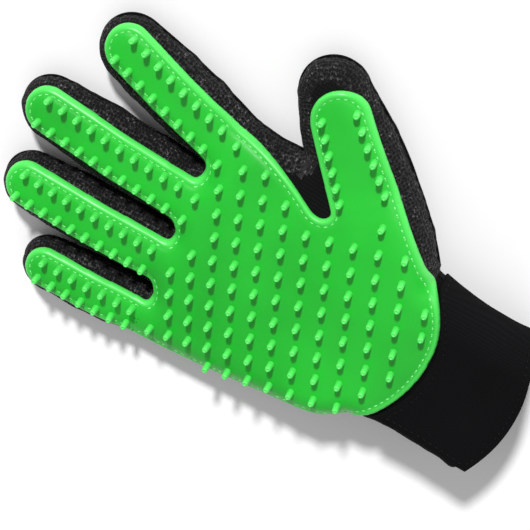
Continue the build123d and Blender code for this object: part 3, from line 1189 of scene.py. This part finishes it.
    def hand_panels(self, obj: bpy.types.Object) -> None:
        """Separates the hand's face, back, side strips, gusset and finger webs."""
        look = self.finishes
        back = Bench.split(obj, self.layer_masks(obj)[Layer.BACK], "hand_back_panel")
        face = Bench.split(obj, self.layer_masks(obj)[Layer.FACE], "hand_face_panel")

        def centres() -> np.ndarray:
            return self.hand.layout.to_layout(Bench.centres(obj))

        spots = centres()
        gusset = Bench.split(obj, (spots[:, 0] > 10) & (spots[:, 1] < 82), "hand_thumb_gusset")
        spots = centres()
        webs = (spots[:, 1] > 138) & (np.abs(spots[:, 0] + 8) < 39)
        web = Bench.split(obj, webs, "hand_finger_webs")
        spots = centres()
        radial = Bench.split(obj, spots[:, 0] > 0, "hand_side_strip_radial")
        obj.name = "hand_side_strip_ulnar"
        for piece, material, slot, node in (
            (back, look.back, "knit_back", "palm_back"),
            (face, look.lining, "lining_palm", "palm_face"),
            (gusset, look.mesh, "mesh_side", "thumb_gusset"),
            (web, look.mesh, "mesh_side", "finger_webs"),
            (radial, look.mesh, "mesh_side", "palm_side_radial"),
            (obj, look.mesh, "mesh_side", "palm_side_ulnar"),
        ):
            self.finish(piece, [material])
            Bench.dress(piece, "hand", slot, node)


@dataclass
class SeamPiping:
    """Raised seams where the side strips meet the back, all round the glove."""

    hand: FilledHand
    finishes: Wardrobe
    inset: float = 0.2
    radius: float = 0.5

    def line(self) -> np.ndarray:
        """Layout points of the seam, from the wrist round to the wrist."""
        outline = self.hand.outline[::4]
        outline = outline[outline[:, 1] > 47]
        flat = ClothShell.offset(outline, self.inset)
        depth, rounding = self.hand.girth(flat)
        drop = depth / 2 * self.hand.profile(np.full(len(flat), self.inset) / rounding)
        return np.column_stack([flat, depth / 2 - drop * 0.5])

    def build(self) -> None:
        """Lays the piping in runs for the hand, the sleeves, the thumb's web and the digits, and hangs
        the hand and digit runs on their bodies.
        """
        line = self.line()
        layout = self.hand.layout
        nearest = self.hand.owner[self.hand.nearest(line[:, :2])[0]]
        owner = np.zeros(len(line), int)
        for number, digit in enumerate(layout.digits):
            across, along = digit.local(line[:, :2])
            mine = (nearest == number) & (along > 0)
            owner[mine] = 10 + number
            owner[mine & (along > digit.sleeve)] = 20 + number
        web = (across <= -layout.web_across) & (across > -32) & (along > 0) & (along < 32)
        owner[web] = 30 + number
        starts = [0, *(np.flatnonzero(np.diff(owner)) + 1), len(line)]
        made: dict[int, list[bpy.types.Object]] = {}
        for low, high in zip(starts, starts[1:]):
            run = line[low : min(high + 1, len(line))]
            if len(run) < 2:
                continue
            points = self.hand.layout.to_frame(run)
            made.setdefault(owner[low], []).append(Bench.tube("seam", points, self.radius))
        for key, runs in made.items():
            digit = self.hand.layout.digits[key % 10]
            name = "hand" if key == 0 else digit.name
            kind = {1: "sleeve_seam", 3: "web_seam"}.get(key // 10, "seam")
            piece = Bench.join(f"{name}_{kind}", runs)
            piece.data.materials.append(self.finishes.black_thread)
            Bench.shade(piece, 60)
            if 10 <= key < 20:
                Bench.bend(piece, "thread_black", digit.name, layout.sleeve_ends(digit))
            elif key >= 30:
                Bench.bend(piece, "thread_black", digit.name, layout.web_ends())
            else:
                Bench.dress(piece, name, "thread_black")


# Pad -------------------------------------------------------------------------------------------


@dataclass
class Pad:
    """The moulded pad with its raised rim, grooming nubs and line of stitches."""

    hand: FilledHand
    finishes: Wardrobe
    thickness: float = 2.0
    blank: float = 3.2
    bury: float = 0.5
    voxel: float = 0.8
    rim_round: float = 1.5
    rim_highlight_width: float = 2.0
    groove_at: float = 2.9
    overlap: float = 1.6
    nub_height: float = 5.6
    nub_foot: float = 1.95
    nub_steps: tuple = ((0.5, 1.5), (4.35, 1.32), (0.5, 1.12), (0.22, 0.72), (-0.2, 0.5))
    nub_sink: float = 0.3
    nub_lean: float = 0.4
    nub_reach: int = 12
    nub_start: tuple = (10.4, 113.9)
    nub_row: tuple = (9.31, 4.08)
    nub_column: tuple = (3.45, -8.92)
    nub_spread: tuple = (0.03, -0.08)
    nub_edge: float = 4.8
    nub_apart: float = 7.4
    stitch_length: float = 2.1
    stitch_pitch: float = 3.0

    def __post_init__(self) -> None:
        """Prepares the search for the nearest point of the pad's edge."""
        line = self.hand.keep_inside(self.hand.layout.pad_outline(), self.overlap)
        self.outline = Layout.resample(line, 0.4, True, 1.0)
        self.tree = kdtree.KDTree(len(self.outline))
        for number, (x, y) in enumerate(self.outline):
            self.tree.insert((x, y, 0), number)
        self.tree.balance()

    def edge_gap(self, xy: np.ndarray) -> np.ndarray:
        """Distance of layout points to the pad's edge."""
        return np.array([self.tree.find((x, y, 0))[2] for x, y in xy])

    def inside(self, xy: np.ndarray) -> np.ndarray:
        """Which layout points lie within the pad's outline."""
        x, y = xy[:, :1], xy[:, 1:]
        a, b = self.outline, np.roll(self.outline, -1, 0)
        spans = (a[:, 1] > y) != (b[:, 1] > y)
        with np.errstate(divide="ignore", invalid="ignore"):
            crossing = (b[:, 0] - a[:, 0]) * (y - a[:, 1]) / (b[:, 1] - a[:, 1]) + a[:, 0]
        return (spans & (x < crossing)).sum(axis=1) % 2 == 1

    def surface(self, xy: np.ndarray, gap: np.ndarray) -> np.ndarray:
        """Height of the pad's upper face: a rounded rim, a sewn groove and a flat field."""
        inward = 1 - np.clip(gap / self.rim_round, 0, 1)
        corner = self.thickness * 0.62 * (1 - np.sqrt(1 - inward**2))
        bead = 0.32 * np.exp(-(((gap - 1.35) / 0.85) ** 2))
        groove = 0.42 * np.exp(-(((gap - self.groove_at) / 0.55) ** 2))
        return self.hand.top(xy) + self.thickness - corner + bead - groove

    def plate(self) -> bpy.types.Object:
        """The pad's plate in one piece, laid on the cloth."""
        layout = self.hand.layout
        edge = self.outline[::2]
        flat = layout.to_frame(np.column_stack([edge, np.zeros(len(edge))]))
        obj = Bench.slab("pad_plate", flat[:, :2], 0, self.blank * MM)
        Bench.modify(obj, "REMESH", mode="VOXEL", voxel_size=self.voxel * MM)
        points = layout.to_layout(Bench.points(obj))
        share = np.clip(points[:, 2] / self.blank, 0, 1)
        gap = self.edge_gap(points[:, :2])
        low = self.hand.top(points[:, :2]) - self.bury
        high = self.surface(points[:, :2], gap)
        points[:, 2] = low + (high - low) * share
        Bench.put(obj, layout.to_frame(points))
        Bench.modify(obj, "SMOOTH", factor=0.5, iterations=3)
        Bench.outward(obj)
        points = layout.to_layout(Bench.points(obj))
        gap = self.edge_gap(points[:, :2])
        # rim: weight of the painted highlight along the pad's edge
        Bench.attribute(obj, "rim", np.exp(-((gap / self.rim_highlight_width) ** 2)))
        return obj

    def nub_model(self) -> bpy.types.Object:
        """One nub: a flared foot, a tapered column and a dimpled tip."""
        Bench.drop()
        foot = self.nub_foot * MM
        bpy.ops.mesh.primitive_circle_add(vertices=10, fill_type="NGON", radius=foot)
        obj = bpy.context.object
        bpy.ops.object.mode_set(mode="EDIT")
        bpy.ops.mesh.select_all(action="SELECT")
        height, wide = 0.0, self.nub_foot
        for rise, radius in self.nub_steps:
            bpy.ops.mesh.extrude_region_move(TRANSFORM_OT_translate={"value": (0, 0, rise * MM)})
            height += rise
            factor = radius / wide
            bpy.ops.transform.resize(
                value=(factor, factor, 1), center_override=(0, 0, height * MM)
            )
            wide = radius
        bpy.ops.object.mode_set(mode="OBJECT")
        Bench.outward(obj)
        # nub: weight of the paler tip colour, rising with height: partly translucent silicone, partly
        # painted highlight
        tall = Bench.points(obj)[:, 2] / (self.nub_height * MM)
        Bench.attribute(obj, "nub", 0.35 + 0.65 * np.clip(tall * 1.6, 0, 1))
        Bench.shade(obj, 70)
        return obj

    def nub_spots(self) -> dict[str, list[tuple[float, float]]]:
        """Layout places of the nubs, by the body that they ride on."""
        spots: dict[str, list] = {"hand": []}
        for digit in self.hand.layout.digits:
            spots[digit.name] = []
            for row in range(digit.rows):
                for side in Side:
                    spots[digit.name].append(tuple(digit.nub_spot(row, side)))
            for row in range(digit.root_rows):
                for side in Side:
                    across = digit.pad_offset + side.value * digit.spread
                    along = -NUB_CREASE - row * digit.pitch
                    spots["hand"].append(tuple(digit.place(across, along)))
        roots = list(spots["hand"])
        reach = range(-self.nub_reach, self.nub_reach + 1)
        steps = [(i, j) for i in reach for j in reach]
        grid = np.array(
            [
                [
                    self.nub_start[k] + i * self.nub_row[k] + j * self.nub_column[k]
                    + j * j * self.nub_spread[k]
                    for k in (0, 1)
                ]
                for i, j in steps
            ]
        )
        good = self.inside(grid) & (self.edge_gap(grid) >= self.nub_edge)
        for digit in self.hand.layout.digits:
            across, along = digit.local(grid)
            lane = np.abs(across) < digit.width / 2 + 3
            good &= ~(lane & (along > -NUB_CREASE) & (along < digit.length))
        for spot in grid[good]:
            if all(math.dist(spot, root) > self.nub_apart for root in roots):
                spots["hand"].append(tuple(spot))
        return spots

    def place(
        self, xy: tuple[float, float], sink: float, turn: float = 0.0, lean: float = 1.0
    ) -> Matrix:
        """Matrix that stands a model on the pad.

        Args:
            xy: Layout place.
            sink: Depth below the pad's face.
            turn: Angle of the model's x axis from the layout's, in radians.
            lean: How far the model leans with the surface, from 0, upright, to 1.

        Returns:
            The matrix in frame coordinates.
        """
        at = np.array([xy])
        normal = Vector((0, 0, 1)).lerp(Vector(self.hand.normal(at)[0]), lean).normalized()
        height = self.surface(at, self.edge_gap(at))[0]
        spot = self.hand.layout.to_frame(np.array([[*xy, height - sink]]))[0]
        upright = Vector((0, 0, 1)).rotation_difference(normal).to_matrix().to_4x4()
        return Matrix.Translation(spot) @ upright @ Matrix.Rotation(turn, 4, "Z")

    def stitch_model(self) -> bpy.types.Object:
        """One stitch: a short rounded thread whose ends dip into the pad."""
        Bench.drop()
        bpy.ops.mesh.primitive_cylinder_add(vertices=6, radius=0.36 * MM, depth=1.2 * MM)
        obj = bpy.context.object
        bpy.ops.object.mode_set(mode="EDIT")
        bpy.context.tool_settings.mesh_select_mode = (False, False, True)
        for side in (-1, 1):
            bpy.ops.mesh.select_all(action="DESELECT")
            bpy.ops.object.mode_set(mode="OBJECT")
            for face in obj.data.polygons:
                face.select = face.normal.z * side > 0.9
            bpy.ops.object.mode_set(mode="EDIT")
            bpy.ops.mesh.extrude_region_move(
                TRANSFORM_OT_translate={"value": (0, 0, side * 0.5 * MM)}
            )
            bpy.ops.transform.resize(
                value=(0.5, 0.5, 1), center_override=(0, 0, side * 1.1 * MM)
            )
        bpy.ops.object.mode_set(mode="OBJECT")
        obj.data.transform(Matrix.Rotation(math.pi / 2, 4, "Y"))
        points = Bench.points(obj)
        points[:, 2] -= 0.35 * MM * (np.abs(points[:, 0]) / (1.1 * MM)) ** 2
        Bench.put(obj, points)
        Bench.shade(obj, 60)
        return obj

    def stitch_runs(self) -> dict[str, list[Matrix]]:
        """Matrices of the stitches along the pad's edge, by the body that they ride on."""
        line = ClothShell.offset(np.vstack([self.outline, self.outline[:2]]), self.groove_at)
        line = Layout.resample(line, self.stitch_pitch, False, 0)
        runs: dict[str, list[Matrix]] = {"hand": []}
        heading = np.gradient(line, axis=0)
        for spot, run in zip(line, heading):
            body = "hand"
            for digit in self.hand.layout.digits:
                across, along = (v[0] for v in digit.local(spot[None, :]))
                near = abs(across) < digit.width / 2 + 2 and along < digit.length
                if near and abs(along) < self.stitch_length / 2 + 0.1:
                    body = ""
                elif near and along > 0:
                    body = digit.name
            if body:
                turn = math.atan2(run[1], run[0])
                runs.setdefault(body, []).append(self.place(tuple(spot), -0.12, turn))
        return runs

    def build(self) -> None:
        """Makes the plate, cuts it at the creases and adds nubs and stitches to each part."""
        layout = self.hand.layout
        plate = self.plate()
        shell = ClothShell(self.hand, self.finishes)
        parts = {}
        for digit in layout.digits:
            parts[digit.name] = shell.take_digit(plate, digit, 0.0, f"{digit.name}_pad_strip")
        parts["hand"] = plate
        nub, stitch = self.nub_model(), self.stitch_model()
        spots, runs = self.nub_spots(), self.stitch_runs()
        for body, part in parts.items():
            Bench.close(part)
            Bench.shade(part, 45)
            node = "palm" if body == "hand" else body
            places = [self.place(xy, self.nub_sink, lean=self.nub_lean) for xy in spots[body]]
            nubs = Bench.copies(nub, places, f"{body}_nubs")
            whole = Bench.join(f"{node}_pad_moulding", [part, nubs])
            whole.data.materials.clear()
            whole.data.materials.append(self.finishes.silicone)
            Bench.dress(whole, body, "silicone_green", f"{node}_pad")
            thread = Bench.copies(stitch, runs[body], f"{node}_pad_thread")
            thread.data.materials.append(self.finishes.green_thread)
            Bench.dress(thread, body, "thread_green", f"{node}_pad_stitching")
        for model in (nub, stitch):
            bpy.data.objects.remove(model)


# Cuff ------------------------------------------------------------------------------------------


@dataclass
class Cuff:
    """The stretch cuff with its bound edge, its strap and the hook-and-loop patches."""

    hand: FilledHand
    pad: Pad
    finishes: Wardrobe
    half: float = 36.0
    height: float = 32.0
    corner: float = 13.0
    length: float = 46.6
    wall: float = 2.0
    bow: float = 8.5
    waist: float = 3.2
    strap_lift: float = 2.2
    strap_wall: float = 1.9
    strap_end: float = -27.0
    strap_root: float = 17.0
    patch_x: tuple = (-25.0, -5.0)
    patch_y: tuple = (5.0, 29.0)
    hem_inset: float = 2.6
    hem_pitch: float = 2.9

    def section(self, grow: float = 0.0, count: int = 24) -> np.ndarray:
        """Closed outline of the cuff across the arm, from the radial side over the palm.

        Args:
            grow: Distance outside the cuff's surface.
            count: Points in each corner.

        Returns:
            Points (x, z) in order.
        """
        power = 2 / self.hand.POWER
        turns = np.linspace(0, math.pi / 2, count)
        flat = self.half - self.corner
        x = flat + (self.corner + grow) * np.cos(turns) ** power
        z = self.height / 2 + (self.height / 2 + grow) * np.sin(turns) ** power
        quarter = np.column_stack([x, z])
        fill = np.linspace(flat, -flat, 22)[1:-1]
        top = np.column_stack([fill, np.full(len(fill), self.height + grow)])
        over = np.vstack([quarter, top, quarter[::-1] * (-1, 1)])
        under = over[::-1][1:-1] * (1, -1) + (0, self.height)
        return np.vstack([over, under])

    def fold(self, x: np.ndarray, y: np.ndarray, z: np.ndarray, amount: float) -> np.ndarray:
        """Height of shallow folds that run round the wrist."""
        made = [
            noise.noise(Vector((a / 26.0, b / 6.5, c / 26.0))) for a, b, c in zip(x, y, z)
        ]
        return amount * np.array(made)

    def narrow(self, x: np.ndarray, y: np.ndarray) -> np.ndarray:
        """Layout x drawn in round the narrow of the wrist."""
        share = np.clip(y / self.length, 0, 1)
        return x * (1 - self.waist * np.sin(math.pi * (share * 0.78 + 0.22)) / self.half)

    def edge_y(self, x: np.ndarray) -> np.ndarray:
        """Where the cuff's open edge lies: it bows towards the arm in the middle."""
        return -self.bow * np.clip(1 - (x / self.half) ** 2, 0, 1)

    def tube(self) -> bpy.types.Object:
        """The cuff's cloth as one open tube."""
        ring = self.section()
        rows = 30
        Bench.drop()
        bpy.ops.mesh.primitive_circle_add(vertices=len(ring), fill_type="NOTHING", radius=0.03)
        obj = bpy.context.object
        bpy.ops.object.mode_set(mode="EDIT")
        bpy.ops.mesh.select_all(action="SELECT")
        for _ in range(rows):
            bpy.ops.mesh.extrude_region_move(TRANSFORM_OT_translate={"value": (0, 0, MM)})
        bpy.ops.object.mode_set(mode="OBJECT")
        points = Bench.points(obj)
        row = np.rint(points[:, 2] / MM).astype(int)
        turn = np.arctan2(points[:, 1], points[:, 0])
        which = np.rint(turn / (2 * math.pi) * len(ring)).astype(int) % len(ring)
        x, z = ring[which].T
        share = row / rows
        start = self.edge_y(x)
        y = start + (self.length - start) * share
        centre = np.column_stack([np.zeros(len(x)), np.full(len(x), self.height / 2)])
        out = np.column_stack([x, z]) - centre
        out /= np.linalg.norm(out, axis=1)[:, None]
        swell = self.fold(x, y, z, 0.7) * np.minimum(1, (1 - share) * 5)
        x, z = self.narrow(x + out[:, 0] * swell, y), z + out[:, 1] * swell
        Bench.put(obj, self.hand.layout.to_frame(np.column_stack([x, y, z])))
        Bench.outward(obj)
        return obj

    def build_tube(self) -> None:
        """Makes the front and back halves of the cuff."""
        obj = self.tube()
        middle = self.height / 2 * MM
        front = Bench.split(obj, Bench.centres(obj)[:, 2] > middle, "cuff_front_panel")
        obj.name = "cuff_back_panel"
        for piece, node in ((front, "cuff_front"), (obj, "cuff_back")):
            Bench.modify(piece, "SOLIDIFY", thickness=self.wall * MM, offset=-1.0)
            piece.data.materials.append(self.finishes.elastic)
            Bench.shade(piece, 50)
            Bench.dress(piece, "hand", "cuff_elastic", node)

    def build_edges(self) -> None:
        """Makes the bound edge, the tape at the hand and the side seams."""
        layout, look = self.hand.layout, self.finishes
        ring = self.section(-self.wall / 2, 14)
        low = self.edge_y(ring[:, 0]) - 0.1
        bound = np.column_stack([self.narrow(ring[:, 0], low), low, ring[:, 1]])
        binding = Bench.tube("cuff_bound_edge", layout.to_frame(bound), 1.15, True)
        tape_ring = self.section(-0.2, 14)
        tape = np.column_stack([tape_ring[:, 0], np.full(len(tape_ring), 46.7), tape_ring[:, 1]])
        joined = Bench.tube("cuff_hand_seam", layout.to_frame(tape), 1.3, True)
        seams = []
        for side in (-1, 1):
            y = np.arange(0.0, 47.0, 2.0)
            x = self.narrow(np.full(len(y), side * (self.half + 0.1)), y)
            run = np.column_stack([x, y, np.full(len(y), self.height / 2)])
            seams.append(Bench.tube("cuff_side", layout.to_frame(run), 0.6))
        sides = Bench.join("cuff_side_seams", seams)
        for piece, material, slot, nodes in (
            (binding, look.binding, "binding_black", ("cuff_binding",)),
            (joined, look.binding, "binding_black", ("wrist_seam",)),
            (sides, look.black_thread, "thread_black", ()),
        ):
            piece.data.materials.append(material)
            Bench.shade(piece, 60)
            Bench.dress(piece, "hand", slot, *nodes)

    def band(
        self, name: str, grow: float, x: tuple, y_of: object, wall: float, steps: tuple
    ) -> bpy.types.Object:
        """A flat band wrapped on the cuff.

        Args:
            name: Name of the new object.
            grow: Distance of its inner face outside the cuff.
            x: Layout x of its ends; a first end beyond the cuff starts at the strap's root.
            y_of: Function from x to the band's (low, high) y.
            wall: Thickness.
            steps: Divisions round and along the cuff.

        Returns:
            The band as a closed solid.
        """
        line = self.section(grow, 40)
        line = line[: np.argmin(line[:, 0]) + 1]
        keep = (line[:, 0] >= x[0]) & (line[:, 0] <= x[1]) & (line[:, 1] >= self.strap_root)
        line = line[keep]
        along = np.concatenate([[0], np.cumsum(np.hypot(*np.diff(line, axis=0).T))])
        Bench.drop()
        bpy.ops.mesh.primitive_grid_add(x_subdivisions=steps[0], y_subdivisions=steps[1], size=1)
        obj = bpy.context.object
        obj.name = name
        points = Bench.points(obj)
        at = (points[:, 0] + 0.5) * along[-1]
        px, pz = (np.interp(at, along, line[:, k]) for k in (0, 1))
        low, high = y_of(px)
        y = low + (high - low) * (points[:, 1] + 0.5)
        lift = self.fold(px, y, pz, 0.35)
        px = self.narrow(px, y)
        Bench.put(obj, self.hand.layout.to_frame(np.column_stack([px, y, pz + lift])))
        Bench.modify(obj, "SOLIDIFY", thickness=wall * MM, offset=-1.0)
        Bench.outward(obj)
        return obj

    def heel(self, x: np.ndarray) -> np.ndarray:
        """Layout y of the pad's lower edge at each x."""
        line = self.pad.outline
        low = line[(line[:, 1] < 62) & (np.abs(line[:, 0]) < 52)]
        low = low[np.argsort(low[:, 0])]
        return np.interp(x, low[:, 0], low[:, 1])

    def build_strap(self) -> None:
        """Makes the strap, its hem stitches and the two patches."""
        look = self.finishes

        def reach(x: np.ndarray) -> tuple[np.ndarray, np.ndarray]:
            return self.edge_y(x) - 2.6, np.minimum(self.heel(x) - 1.4, 43.5)

        def patch(x: np.ndarray) -> tuple[np.ndarray, np.ndarray]:
            return np.full(len(x), self.patch_y[0]), np.full(len(x), self.patch_y[1])

        span = (self.strap_end, 60)
        strap = self.band(
            "wrist_strap", self.strap_lift, span, reach, self.strap_wall, (90, 44)
        )
        Bench.modify(strap, "BEVEL", width=0.5 * MM, segments=2, limit_method="ANGLE", angle_limit=1.0)
        loops = self.band("cuff_loop_patch", 0.0, self.patch_x, patch, 0.9, (24, 24))
        hooks = self.band("strap_hook_patch", 1.3, self.patch_x, patch, 0.8, (24, 24))
        for piece, material, body, slot, node in (
            (strap, look.elastic, "strap_flap", "cuff_elastic", "strap"),
            (loops, look.loops, "hand", "loop_black", "loop_patch"),
            (hooks, look.hooks, "strap_flap", "hook_black", "hook_patch"),
        ):
            piece.data.materials.append(material)
            Bench.shade(piece, 45)
            Bench.dress(piece, body, slot, node)
        self.build_hem(reach)

    def build_hem(self, reach: object) -> None:
        """Makes the line of stitches inside the strap's edges."""
        inset = self.hem_inset
        line = self.section(self.strap_lift + self.strap_wall + 0.1, 40)
        line = line[: np.argmin(line[:, 0]) + 1]
        line = line[(line[:, 0] >= self.strap_end + inset) & (line[:, 1] >= self.strap_root + inset)]
        low, high = reach(line[:, 0])
        lower = np.column_stack([line[:, 0], low + inset, line[:, 1]])
        upper = np.column_stack([line[:, 0], high - inset, line[:, 1]])
        count = 16
        end = upper[-1] + np.linspace(0, 1, count)[:, None] * (lower[-1] - upper[-1])
        path = np.vstack([upper, end, lower[::-1]])
        path[:, 2] += self.fold(*path.T, 0.35)
        path[:, 0] = self.narrow(path[:, 0], path[:, 1])
        steps = np.concatenate([[0], np.cumsum(np.linalg.norm(np.diff(path, axis=0), axis=1))])
        stitch = self.pad.stitch_model()
        places = []
        for at in np.arange(1.5, steps[-1] - 1.5, self.hem_pitch):
            spot, ahead = (
                np.array([np.interp(at + d, steps, path[:, k]) for k in range(3)]) for d in (0, 0.5)
            )
            run = Vector(ahead - spot).normalized()
            out = Vector((spot[0] / self.half, 0, (spot[2] - self.height / 2) / self.height * 2))
            out = Vector((out.x**3, 0, out.z**3)).normalized()
            across = out.cross(run).normalized()
            turn = Matrix((run, across, out)).transposed().to_4x4()
            places.append(Matrix.Translation(self.hand.layout.to_frame(spot[None, :])[0]) @ turn)
        hem = Bench.copies(stitch, places, "strap_hem_stitches")
        hem.data.materials.append(self.finishes.black_thread)
        Bench.dress(hem, "strap_flap", "thread_black", "strap_stitching")
        bpy.data.objects.remove(stitch)

    def build(self) -> None:
        """Makes every piece of the cuff."""
        self.build_tube()
        self.build_edges()
        self.build_strap()


# Studio ----------------------------------------------------------------------------------------


@dataclass
class Studio:
    """A pale floor, soft light and the camera."""

    layout: Layout
    target: tuple = (0.7, 108.0, 19.0)
    tilt: float = 27.0
    finger_turn: float = 149.0
    distance: float = 700.0
    lens: float = 115.0

    def floor(self) -> None:
        """Adds the floor."""
        Bench.drop()
        bpy.ops.mesh.primitive_plane_add(size=6.0)
        floor = bpy.context.object
        floor.name = "studio_floor"
        s = Shader("studio_floor")
        s.set(Base_Color=s.ramp(s.noise(1.2), [(0.2, (0.93, 0.93, 0.93)), (0.8, (0.96, 0.96, 0.96))]))
        s.set(Roughness=0.9, Specular_IOR_Level=0.1)
        floor.data.materials.append(s.material)
        points = Bench.points(floor)
        points[:, 2] = -0.0004
        Bench.put(floor, points)

    def lamp(self, name: str, place: tuple, spread: float, power: float) -> None:
        """Adds a distant lamp that shines on the glove.

        Args:
            name: Name of the lamp.
            place: Direction from the glove to the lamp.
            spread: Angle that the lamp fills, in degrees: a wider one has softer shadows.
            power: Strength.
        """
        light = bpy.data.lights.new(name, "SUN")
        light.angle = math.radians(spread)
        light.energy = power
        lamp = bpy.data.objects.new(name, light)
        lamp.location = place
        lamp.rotation_mode = "QUATERNION"
        lamp.rotation_quaternion = (-Vector(place)).to_track_quat("-Z", "Y")
        bpy.context.scene.collection.objects.link(lamp)

    def light(self) -> None:
        """Adds the lamps and the sky."""
        self.lamp("key", (0.95, 0.42, 0.95), 6.0, 3.2)
        self.lamp("fill", (-0.4, -0.5, 1.5), 60.0, 0.25)
        world = bpy.data.worlds.new("studio_sky")
        world.use_nodes = True
        world.node_tree.nodes["Background"].inputs["Color"].default_value = (1, 1, 1, 1)
        world.node_tree.nodes["Background"].inputs["Strength"].default_value = 0.36
        bpy.context.scene.world = world

    def camera(self) -> None:
        """Adds the camera, over the palm and tilted to the thumb side."""
        tilt = math.radians(self.tilt)
        back = Vector((math.sin(tilt), 0, math.cos(tilt)))
        east = Vector((math.cos(tilt), 0, -math.sin(tilt)))
        north = Vector((0, 1, 0))
        turn = math.radians(self.finger_turn)
        side = math.radians(self.finger_turn - 90)
        right = math.cos(side) * east + math.cos(turn) * north
        up = math.sin(side) * east + math.sin(turn) * north
        data = bpy.data.cameras.new("camera")
        data.lens = self.lens
        data.sensor_width = 36.0
        data.clip_start = 0.01
        camera = bpy.data.objects.new("camera", data)
        aim = Vector(self.layout.to_frame(np.array([self.target]))[0])
        basis = Matrix((right, up, back)).transposed().to_4x4()
        camera.matrix_world = Matrix.Translation(aim + back * self.distance * MM) @ basis
        bpy.context.scene.collection.objects.link(camera)
        bpy.context.scene.camera = camera

    def build(self) -> None:
        """Sets up the floor, the lights and the camera."""
        bpy.context.scene.view_settings.view_transform = "Standard"
        self.floor()
        self.light()
        self.camera()


def main() -> None:
    """Builds the glove and the studio round it."""
    logging.basicConfig(level=logging.INFO, format="%(name)s %(message)s")
    layout = Layout()
    hand = FilledHand(layout)
    finishes = Wardrobe()
    ClothShell(hand, finishes).build()
    SeamPiping(hand, finishes).build()
    pad = Pad(hand, finishes)
    pad.build()
    Cuff(hand, pad, finishes).build()
    Studio(layout).build()
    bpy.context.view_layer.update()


if __name__ == "__main__":
    main()
